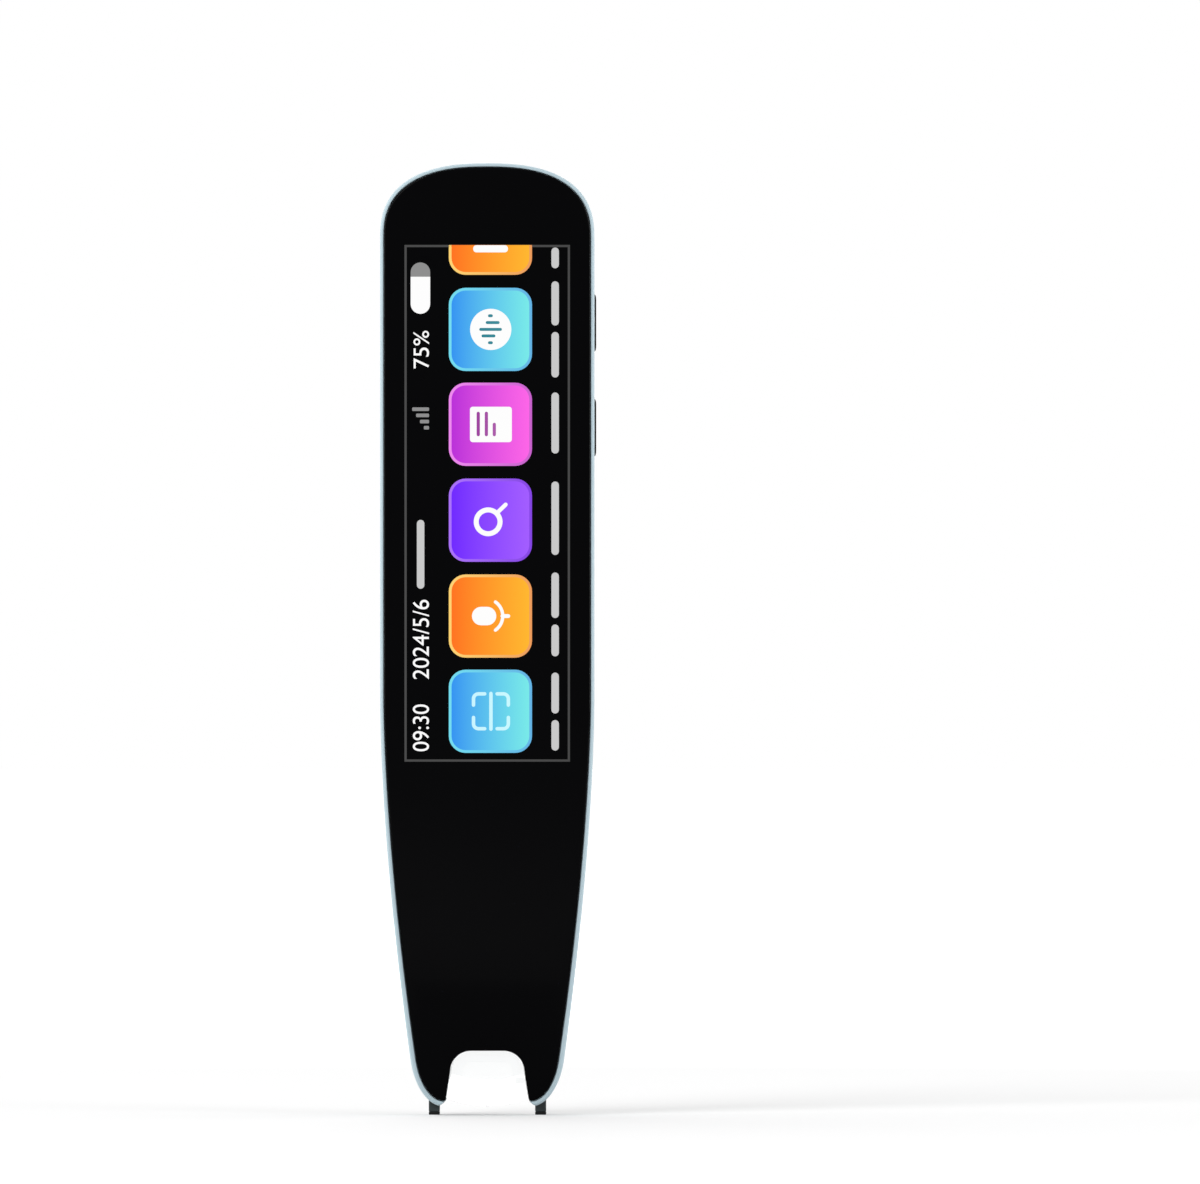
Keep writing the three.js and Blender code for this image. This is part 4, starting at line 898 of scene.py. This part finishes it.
def makeFork():
    # The two feet and the bar that joins them, as one part, and a sole under each foot
    outer, front, back = legs["outer"], legs["front"], legs["back"]
    barHalf, barBack = outer + legs["barOut"], front + legs["barThick"]
    piece = block("feet_fork", (-barHalf, front, legs["barFoot"]), (barHalf, barBack, legs["barTop"]))
    footX, legX = outer - legs["foot"], outer - legs["wide"]
    stepTop = legs["step"] + legs["slope"]
    for side in (1, -1):
        outline = [(side * x, z) for x, z in (
            (footX, legs["sole"]), (outer, legs["sole"]), (outer, legs["height"]),
            (legX, legs["height"]), (legX, stepTop), (footX, legs["step"]),
        )]
        leg = prism("leg", outline, "y", front, back)
        left, right = sorted((side * legX, side * outer))
        neckFoot = legs["height"] - legs["lap"]
        neck = block("neck", (left, front, neckFoot), (right, barBack, legs["neckTop"]))
        carve(leg, neck, operation="UNION")
        carve(piece, leg, operation="UNION")
    soften(piece, legs["edge"], legs["angle"], 3)
    mount(piece, footNylon, "foot_grey", "trigger_fork", body="trigger")
    for side, word in ((1, "right"), (-1, "left")):
        left, right = sorted((side * footX, side * outer))
        top = legs["sole"] + legs["soleLap"]
        sole = block(f"sole_{word}", (left, front, 0), (right, back, top))
        soften(sole, legs["soleEdge"], legs["angle"], 3)
        mount(sole, soleRubber, "foot_grey", body="trigger")


spring = {
    "x": 6.2, "y": 2, "radius": 1.1, "wire": 0.2, "turns": 5, "turnSteps": 24, "wireSteps": 10,
    "foot": 18.73, "top": 23.47, "seat": 23.6,
}


def makeSprings():
    # The coils stand between the feet's bar and the shell
    steps = spring["turns"] * spring["turnSteps"]
    pitch = (spring["seat"] - spring["foot"]) / spring["turns"]
    climb = pitch / (4 * quarter * spring["radius"])
    for side, word in ((1, "right"), (-1, "left")):
        rings = []
        for i in range(steps + 1):
            turn = 4 * quarter * spring["turns"] * i / steps
            out = Vector((math.cos(turn), math.sin(turn), 0))
            along = Vector((-math.sin(turn), math.cos(turn), climb))
            up = along.normalized().cross(out)
            z = mix(spring["foot"] + spring["wire"], spring["top"] - spring["wire"], i / steps)
            middle = Vector((side * spring["x"], spring["y"], z)) + out * spring["radius"]
            wire = disc(spring["wire"], steps=spring["wireSteps"])
            rings.append([middle + (out * a + up * b) for a, b in wire])
        mesh = bmesh.new()
        addRings(mesh, rings)
        piece = toObject(mesh, f"spring_{word}")
        soften(piece, 0)
        mount(piece, springSteel, "spring_steel", f"trigger_spring_{word}")
        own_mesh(piece)


makeHeadCover()
makeWindow()
makeGuideLine()
makeFork()
makeSprings()
print("scan head, feet and springs made")

# The picture on the screen, in thin layers just over the glass. Its places count from the pen's
# middle line and its soles
picture = {
    "y": case["front"], "layer": 0.012, "share": 0.9, "base": 0.01, "thick": 0.02, "tiny": 0.001,
    "middle": 0.49, "tile": 12.8, "corner": 2.6, "rim": 0.42, "outline": 0.34, "inside": 0.02,
}
faces = {  # the face's colours at its left and right, then its rim's
    "blue": ("#2f8ff2", "#7aece8", "#74def0", "#64b4e6"),
    "magenta": ("#b62bd8", "#ff66e8", "#f08cf0", "#c861cc"),
    "violet": ("#6d24ff", "#a45eff", "#ac74fa", "#8444e4"),
    "orange": ("#ff6f1e", "#ffb92f", "#ffd574", "#ee9c5c"),
}
tiles = [  # colour, height of the middle, sign
    ("orange", 135.8, "bar"), ("blue", 121, "voice"), ("magenta", 106.4, "page"),
    ("violet", 91.65, "search"), ("orange", 76.9, "microphone"), ("blue", 62.25, "frame"),
]
signs = {  # places count from the tile's middle, but the bar's heights from the screen's top
    "bar": {"low": (-2.65, -1.15), "high": (2.7, -0.05), "corner": 0.5},
    "voice": {
        "radius": 3.18, "right": 0.05, "line": 0.46,
        "lines": (
            (-0.15, 0.15, 2.1), (-0.5, 1.2, 1.05), (-1.5, 1.55, 0),
            (-1.15, 0.55, -1), (-0.15, 0.15, -2.05),
        ),
    },
    "page": {
        "low": (-3.15, -2.75), "high": (3.3, 2.7), "corner": 0.45, "line": 0.5, "foot": -1.6,
        "lines": ((-1.87, 1.7), (-0.62, 1.7), (0.6, 0)),
    },
    "search": {
        "ring": (-0.35, -0.25), "outer": 2.22, "inner": 1.45, "line": 0.62,
        "grip": ((1.05, 1.15), (2.35, 2.4)),
    },
    "microphone": {
        "width": 2.85, "length": 3.75, "middle": -0.97, "bowMiddle": -0.75, "bow": 2.65, "spread": 55,
        "line": 0.5, "stem": (1.85, 2.75), "stemLine": 0.6,
    },
    "frame": {
        "right": 0.08, "straight": 0.95, "bendMiddle": 1.93, "bend": 0.75, "bendSteps": 6,
        "reach": 2.68, "bar": 2.75, "line": 0.54,
    },
}
gauge = {"width": 3, "length": 7.9, "middle": (-10.28, 127.35), "full": 129.1, "steps": 14}
signal = {"foot": 105.6, "pitch": 0.95, "thick": 0.55, "corner": 0.15, "reach": (0.8, 1.4, 2.0, 2.6)}
upperRow = -8.95  # the line that the figures and the signal bars stand on
paleBars = {  # foot and top of each bar beside the tiles, and of the one in the upper row
    "width": 1.15, "x": 10.45, "upperX": -10.25, "upper": (81.1, 91.7),
    "lower": (
        (130.4, 133.6), (113.6, 120.6), (121.6, 128.4), (101.9, 111.3), (86.3, 97.6),
        (70.7, 75.6), (76.6, 83.6), (56.2, 60.9), (61.9, 68.2),
    ),
}
figures = {  # figures, foot, height and length
    "screen_clock": ("09:30", 56.1, 2.5, 7.2),
    "screen_date": ("2024/5/6", 67.2, 2.5, 12.2),
    "screen_charge": ("75%", 115, 2.4, 5.8),
}
# Light of the screen's parts: even and without shine, so that it stays the same from all sides
white = lit("screen_white", {"left": "#fdfdfd", "right": "#fdfdfd", "span": (-6, 6)})
iceWhite = lit("screen_ice_white", {"left": "#c9f4ff", "right": "#c9f9ff", "span": (-3, 4)})
grey = lit("screen_grey", {"left": "#8e8e8e", "right": "#8e8e8e", "span": (-6, 6)})
pale = lit("screen_label", {"left": "#c9c9c9", "right": "#c9c9c9", "span": (-6, 14)})
outlineGrey = lit("screen_outline", {"left": "#4a4a4a", "right": "#474747", "span": (-13, 13)})
teal = lit("screen_teal", {"left": "#2f7f8f", "right": "#3b8c9a", "span": (-2, 2)})
plum = lit("screen_plum", {"left": "#9a3a9c", "right": "#b060ae", "span": (-2, 2)})


def addLayer(mesh, outline, level, slot):
    # A thin layer, each level one step nearer the eye
    y = picture["y"] - picture["layer"] * level
    thick = picture["layer"] * picture["share"] + (picture["base"] if level == 1 else 0)
    addPrism(mesh, outline, "y", y, y + thick, slot)


def stroke(points, width, steps=5):
    # The outline of a line of even width with round ends
    radius = width / 2
    left, right = [], []
    for i, (x, z) in enumerate(points):
        ax, az = points[max(i - 1, 0)]
        bx, bz = points[min(i + 1, len(points) - 1)]
        size = math.hypot(bx - ax, bz - az)
        nx, nz = -(bz - az) / size * radius, (bx - ax) / size * radius
        left.append((x + nx, z + nz))
        right.append((x - nx, z - nz))

    def cap(centre, start):
        first = math.atan2(start[1] - centre[1], start[0] - centre[0])
        made = []
        for i in range(1, steps):
            turn = first - math.pi * i / steps
            made.append((centre[0] + radius * math.cos(turn), centre[1] + radius * math.sin(turn)))
        return made

    return left + cap(points[-1], left[-1]) + right[::-1] + cap(points[0], right[0])


def addBand(mesh, centre, outer, inner, level, slot, steps=40):
    # A flat ring
    y = picture["y"] - picture["layer"] * level
    backY = y + picture["layer"] * picture["share"]
    rings = []
    for radius, depth in ((outer, y), (inner, y), (inner, backY), (outer, backY)):
        rings.append([(x, depth, z) for x, z in disc(radius, centre, steps)])
    addRings(mesh, rings, closed=True, slot=slot)


def arcPoints(centre, radius, start, end, steps=14):
    # Part of a circle, from one angle in degrees to another
    points = []
    for i in range(steps + 1):
        turn = math.radians(mix(start, end, i / steps))
        points.append((centre[0] + radius * math.cos(turn), centre[1] + radius * math.sin(turn)))
    return points


def addSign(mesh, kind, x, z):
    # White in slot 2, and what is dark on white in slot 3, one layer nearer the eye
    sign = signs[kind]

    def box(low, high, z):
        outline = roundedRect((x + low[0], z + low[1]), (x + high[0], z + high[1]), sign["corner"])
        addLayer(mesh, outline, 3, 2)

    def line(points, width, level=3, slot=2):
        addLayer(mesh, stroke([(x + a, z + b) for a, b in points], width), level, slot)

    if kind == "bar":
        box(sign["low"], sign["high"], screen["top"])
    if kind == "voice":
        addLayer(mesh, disc(sign["radius"], (x + sign["right"], z), 48), 3, 2)
        for left, right, lift in sign["lines"]:
            line(((left, lift), (right, lift)), sign["line"], 4, 3)
    if kind == "page":
        box(sign["low"], sign["high"], z)
        for right, top in sign["lines"]:
            line(((right, sign["foot"]), (right, top)), sign["line"], 4, 3)
    if kind == "search":
        a, b = sign["ring"]
        addBand(mesh, (x + a, z + b), sign["outer"], sign["inner"], 3, 2)
        line(sign["grip"], sign["line"])
    if kind == "microphone":
        body = stadium(sign["width"], sign["length"], (z, x + sign["middle"]), 14)
        addLayer(mesh, [(a, b) for b, a in body][::-1], 3, 2)
        spread = sign["spread"]
        line(arcPoints((sign["bowMiddle"], 0), sign["bow"], -spread, spread), sign["line"])
        line([(a, 0) for a in sign["stem"]], sign["stemLine"])
    if kind == "frame":
        middle, reach, straight = sign["bendMiddle"], sign["reach"], sign["straight"]
        bend = arcPoints((middle, middle), sign["bend"], 90, 0, sign["bendSteps"])
        bracket = [(straight, reach)] + bend + [(reach, straight)]
        for sx in (-1, 1):
            for sz in (-1, 1):
                line([(sign["right"] + sx * a, sz * b) for a, b in bracket], sign["line"])
        line([(sign["right"], b) for b in (-sign["bar"], sign["bar"])], sign["line"])


def clipped(outline, top):
    # An outline cut off level at a height
    kept = []
    for x, z in outline:
        point = (x, min(z, top))
        if not kept or math.dist(kept[-1], point) > picture["tiny"]:
            kept.append(point)
    return kept


def makeTile(number, colour, z, kind):
    left, right, rimLeft, rimRight = faces[colour]
    x, half = picture["middle"], picture["tile"] / 2
    span = (x - half, x + half)
    mesh = bmesh.new()
    for level, inset, slot in ((1, 0, 0), (2, picture["rim"], 1)):
        low, high = (x - half + inset, z - half + inset), (x + half - inset, z + half - inset)
        outline = roundedRect(low, high, picture["corner"] - inset, 8)
        if z + half > screen["top"]:
            outline = clipped(outline, screen["top"] - picture["inside"])
        addLayer(mesh, outline, level, slot)
    addSign(mesh, kind, x, z)
    piece = toObject(mesh, f"screen_tile_{number}")
    for finish in (
        lit(f"screen_{colour}_rim_{number}", {"left": rimLeft, "right": rimRight, "span": span}),
        lit(f"screen_{colour}_{number}", {"left": left, "right": right, "span": span}),
        iceWhite if kind == "frame" else white,
        plum if kind == "page" else teal,
    ):
        piece.data.materials.append(finish)
    return mount(piece, None, "panel_black")


def makeOutline():
    # The screen's thin border line
    mesh = bmesh.new()
    y = picture["y"] - picture["layer"]
    backY = y + picture["thick"]
    rings = []
    for inset, depth in ((0, y), (picture["outline"], y), (picture["outline"], backY), (0, backY)):
        left, right = screen["left"] + inset, screen["right"] - inset
        foot, top = screen["foot"] + inset, screen["top"] - inset
        rings.append([(left, depth, foot), (right, depth, foot), (right, depth, top), (left, depth, top)])
    addRings(mesh, rings, closed=True)
    mount(toObject(mesh, "screen_outline"), outlineGrey, "panel_black")


def makeGauge():
    # A battery, lit white as far as it is full
    mesh = bmesh.new()
    outline = stadium(gauge["width"], gauge["length"], gauge["middle"], gauge["steps"])
    addLayer(mesh, outline, 1, 0)
    addLayer(mesh, clipped(outline, gauge["full"]), 2, 1)
    piece = toObject(mesh, "screen_battery")
    piece.data.materials.append(grey)
    piece.data.materials.append(white)
    mount(piece, None, "panel_black")


def makeSignal():
    # Bars that grow along the line of reading
    mesh = bmesh.new()
    for i, reach in enumerate(signal["reach"]):
        z = signal["foot"] + i * signal["pitch"]
        low, high = (upperRow - reach, z), (upperRow, z + signal["thick"])
        addLayer(mesh, roundedRect(low, high, signal["corner"], 3), 1, 0)
    mount(toObject(mesh, "screen_signal"), grey, "panel_black")


def makePaleBars():
    mesh = bmesh.new()
    places = [(paleBars["x"], ends) for ends in paleBars["lower"]]
    for x, (low, high) in places + [(paleBars["upperX"], paleBars["upper"])]:
        outline = stadium(paleBars["width"], high - low, (x, (low + high) / 2), density["line"])
        addLayer(mesh, outline, 1, 0)
    mount(toObject(mesh, "screen_labels"), pale, "panel_black")


def makeFigures(name, text, foot, height, length):
    # Plain figures that read upwards, fitted to a height and a length
    curve = bpy.data.curves.new(name, "FONT")
    curve.body = text
    curve.size = 1
    writing = bpy.data.objects.new(name, curve)
    scene.collection.objects.link(writing)
    graph = bpy.context.evaluated_depsgraph_get()
    data = bpy.data.meshes.new_from_object(writing.evaluated_get(graph))
    bpy.data.objects.remove(writing)
    bpy.data.curves.remove(curve)
    mesh = bmesh.new()
    mesh.from_mesh(data)
    bpy.data.meshes.remove(data)
    xs = [v.co.x for v in mesh.verts]
    ys = [v.co.y for v in mesh.verts]
    wide, tall = max(xs) - min(xs), max(ys) - min(ys)
    y = picture["y"] - picture["layer"]
    for v in mesh.verts:
        along = (v.co.x - min(xs)) / wide * length
        up = (v.co.y - min(ys)) / tall * height
        v.co = Vector((upperRow - up, y, foot + along)) * mm
    made = bmesh.ops.extrude_face_region(mesh, geom=mesh.faces[:])
    for item in made["geom"]:
        if isinstance(item, bmesh.types.BMVert):
            item.co.y += picture["thick"] * mm
    return mount(toObject(mesh, name), white, "panel_black")


for number, (colour, z, kind) in enumerate(tiles, 1):
    makeTile(number, colour, z, kind)
makeOutline()
makeGauge()
makeSignal()
makePaleBars()
for name, settings in figures.items():
    makeFigures(name, *settings)
print("screen picture made")

# Parts inside, which keep their solids and get a finish of their own
plainLooks = {
    "black_acrylic_tape": {  # dull, with a soft uneven face
        "colour": "#26262a", "shade": "#202024", "grain": 0.3, "rough": (0.7, 0.85),
        "bump": 0.3, "height": 0.02, "specular": 0.2,
    },
    "display_glass": {  # an unlit screen: smooth and nearly black
        "colour": "#101113", "shade": "#0c0d0f", "grain": 0.3, "rough": (0.2, 0.3),
        "bump": 0.1, "height": 0.005,
    },
    "aluminium_foil": {  # silver with a faint crinkle, as on a pouch cell
        "colour": "#b6b9bd", "shade": "#a9acb0", "grain": 0.4, "rough": (0.3, 0.45),
        "bump": 0.3, "height": 0.02, "metal": 0.8,
    },
    "polyimide_film": {  # the amber gloss of flexible circuits
        "colour": "#a4651c", "shade": "#935716", "grain": 0.5, "rough": (0.3, 0.45),
        "bump": 0.2, "height": 0.01,
    },
    "cast_magnesium": {  # a pale grey metal with the fine skin of the die
        "colour": "#97999d", "shade": "#8b8d91", "grain": 0.25, "rough": (0.4, 0.55),
        "bump": 0.4, "height": 0.03, "metal": 0.9,
    },
    "dark_steel_painted_shade": {  # dark steel as painted shade, so that nothing bright shows round the keys
        "colour": "#17181a", "shade": "#121314", "grain": 0.2, "rough": (0.5, 0.65),
        "bump": 0.3, "height": 0.015, "metal": 0.5,
    },
    "green_glass_epoxy": {  # a circuit board under its green lacquer
        "colour": "#14563a", "shade": "#104a31", "grain": 0.4, "rough": (0.35, 0.5),
        "bump": 0.3, "height": 0.02,
    },
    "moulded_epoxy": {  # the matt black of chips
        "colour": "#17181a", "shade": "#131415", "grain": 0.1, "rough": (0.5, 0.65),
        "bump": 0.4, "height": 0.01,
    },
    "white_moulded_nylon": {  # warm white, slightly waxy
        "colour": "#e2e2de", "shade": "#d8d8d3", "grain": 0.2, "rough": (0.4, 0.55),
        "bump": 0.2, "height": 0.01,
    },
    "stamped_steel": {  # bright sheet with a soft rolled shine
        "colour": "#b4b6b8", "shade": "#a5a7a9", "grain": 0.15, "rough": (0.25, 0.38),
        "bump": 0.2, "height": 0.008, "metal": 1,
    },
    "red_silicone_lead": {  # soft and dull
        "colour": "#b3261e", "shade": "#9e1f18", "grain": 0.2, "rough": (0.45, 0.6),
        "bump": 0.2, "height": 0.01,
    },
    "black_moulded_plastic": {  # plain and dull
        "colour": "#161616", "shade": "#121212", "grain": 0.2, "rough": (0.5, 0.65),
        "bump": 0.2, "height": 0.01,
    },
    "open_cell_foam": {  # black and pitted, without shine
        "colour": "#1b1b1b", "shade": "#141414", "grain": 0.3, "rough": (0.9, 1),
        "bump": 0.8, "height": 0.06, "specular": 0.1,
    },
    "woven_mesh": {  # near black: its own dark colour, deepened as painted shade behind the holes; its weave drawn coarser than real so that it shows
        "colour": "#101011", "shade": "#0b0b0c", "grain": 0.12, "rough": (0.5, 0.7),
        "bump": 0.8, "height": 0.05, "specular": 0.1,
    },
    "lamp_phosphor": {  # the pale yellow of small lamps that are off
        "colour": "#f4f0d8", "shade": "#ece6c4", "grain": 0.2, "rough": (0.3, 0.4),
        "bump": 0.1, "height": 0.005,
    },
    "coated_lens_glass": {  # polished, with the violet of its coating
        "colour": "#1b1730", "shade": "#140f28", "grain": 0.3, "rough": (0.03, 0.07),
        "bump": 0.02, "height": 0.002, "specular": 0.6,
    },
}
carried = {
    "black_acrylic_tape": ("glass_adhesive", "battery_tape"),
    "display_glass": ("display_panel",),
    "aluminium_foil": ("display_backlight", "battery", "radio_shield"),
    "polyimide_film": ("display_flex", "key_flex", "link_flex", "camera_flex", "antenna"),
    "cast_magnesium": ("chassis",),
    "dark_steel_painted_shade": ("key_bracket", "power_switch", "function_switch"),
    "green_glass_epoxy": ("main_board", "usb_board", "light_board"),
    "moulded_epoxy": ("processor_chip", "memory_chip", "camera_module"),
    "white_moulded_nylon": (
        "battery_socket", "power_switch_plunger", "function_switch_plunger", "trigger_switch_plunger",
    ),
    "stamped_steel": ("trigger_switch", "usb_port"),
    "red_silicone_lead": ("battery_lead_red",),
    "black_moulded_plastic": ("battery_lead_black", "speaker_driver", "usb_tongue"),
    "open_cell_foam": ("speaker_gasket", "microphone_boot"),
    "woven_mesh": ("speaker_mesh", "microphone"),
    "lamp_phosphor": ("light_left", "light_right"),
    "coated_lens_glass": ("camera_lens",),
}
finishes = {finish: grained(finish, look) for finish, look in plainLooks.items()}
for finish, names in carried.items():
    for name in names:
        bpy.data.objects[name].material_slots[0].material = finishes[finish]
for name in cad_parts:
    if "screw" in name:
        bpy.data.objects[name].material_slots[0].material = finishes["stamped_steel"]
print("carried-over parts finished")

# The studio, in metres
light = {
    "world": 0.42, "near": 0.3, "far": 0.8, "glow": (0.22, 0.82),
    "floorHalf": 6, "floorColour": "#d4d4d4", "aim": (0, 0, 0.07),
}
lamps = {  # place, size and watts
    "front_soft_left": ((-0.9, -1.3, 1.1), (0.9, 0.9), 18),
    "front_soft_right": ((1.2, -0.9, 0.7), (0.7, 0.9), 6),
    "rear_soft": ((0.2, 1.7, 0.3), (0.9, 0.9), 4),
    "rear_high": ((-0.5, 1.1, 1.4), (1.5, 1), 9),
    "side_left": ((-1.4, 0.2, 0.42), (1.1, 0.8), 10.5),
    "side_right": ((1.4, 0.2, 0.42), (1.1, 0.8), 10.5),
}
view = {  # mm of lens and sensor, the photo's width in pixels and pixels to the mm, and the middle
    "lens": 600, "sensor": 36, "pixels": 1200, "scale": 6.5, "right": 17.35, "up": 80.6,
    "clip": (0.1, 30),
}


def background(tree):
    # Whether a ray shows the background: straight to the camera, mirrored, or through something clear
    path = addNode(tree, "ShaderNodeLightPath")
    seen = path.outputs["Is Camera Ray"]
    for ray in ("Is Glossy Ray", "Is Transmission Ray"):
        either = addNode(tree, "ShaderNodeMath", {0: seen, 1: path.outputs[ray]}, operation="MAXIMUM")
        seen = either.outputs[0]
    return seen


def makeFloor():
    # Matt white paper, which keeps the shadow and looks white to the eye and in glass
    mesh = bmesh.new()
    for x, y in ((-1, -1), (1, -1), (1, 1), (-1, 1)):
        mesh.verts.new((x * light["floorHalf"], y * light["floorHalf"], 0))
    mesh.faces.new(mesh.verts[:])
    floor = toObject(mesh, "studio_floor")
    material, tree, out = blank("white_studio_floor")
    place = addNode(tree, "ShaderNodeTexCoord").outputs["Object"]
    away = addNode(tree, "ShaderNodeVectorMath", {0: place}, operation="LENGTH").outputs["Value"]
    near, far = light["glow"]
    lift = addNode(tree, "ShaderNodeMapRange", {  # makes up for the lamps' fall-off, up to white
        "Value": away, "From Min": light["near"], "From Max": light["far"],
        "To Min": near, "To Max": far,
    })
    glow = addNode(tree, "ShaderNodeMath", {
        0: background(tree), 1: lift.outputs["Result"],
    }, operation="MULTIPLY")
    shine = addNode(tree, "ShaderNodeEmission", {
        "Color": linear("#ffffff"), "Strength": glow.outputs[0],
    })
    matt = addNode(tree, "ShaderNodeBsdfDiffuse", {"Color": linear(light["floorColour"])})
    both = addNode(tree, "ShaderNodeAddShader", {0: matt.outputs[0], 1: shine.outputs[0]})
    tree.links.new(both.outputs[0], out.inputs["Surface"])
    floor.data.materials.append(material)


def makeWorld():
    # White as a background, and a plain soft fill as a light
    world = bpy.data.worlds.new("studio_world")
    scene.world = world
    world.use_nodes = True
    tree = world.node_tree
    tree.nodes.clear()
    out = addNode(tree, "ShaderNodeOutputWorld")
    strength = addNode(tree, "ShaderNodeMix", {0: background(tree), 2: light["world"], 3: 1})
    back = addNode(tree, "ShaderNodeBackground", {
        "Color": linear("#ffffff"), "Strength": strength.outputs[0],
    })
    tree.links.new(back.outputs[0], out.inputs["Surface"])


def makeLamp(name, place, size, watts):
    data = bpy.data.lights.new(name, "AREA")
    data.shape = "RECTANGLE"
    data.size, data.size_y = size
    data.energy = watts
    lamp = bpy.data.objects.new(name, data)
    lamp.location = place
    aim = Vector(light["aim"]) - Vector(place)
    lamp.rotation_euler = aim.to_track_quat("-Z", "Y").to_euler()
    scene.collection.objects.link(lamp)


def makeCamera():
    data = bpy.data.cameras.new("photo_camera")
    data.lens = view["lens"]
    data.sensor_width = view["sensor"]
    away = view["lens"] * view["pixels"] / view["sensor"] / view["scale"]
    camera = bpy.data.objects.new("photo_camera", data)
    camera.location = Vector((view["right"], case["front"] - away, view["up"])) * mm
    camera.rotation_euler = (quarter, 0, 0)
    data.clip_start, data.clip_end = view["clip"]
    scene.collection.objects.link(camera)
    scene.camera = camera


makeFloor()
makeWorld()
for name, settings in lamps.items():
    makeLamp(name, *settings)
makeCamera()
scene.view_settings.view_transform = "Standard"
print("studio made")
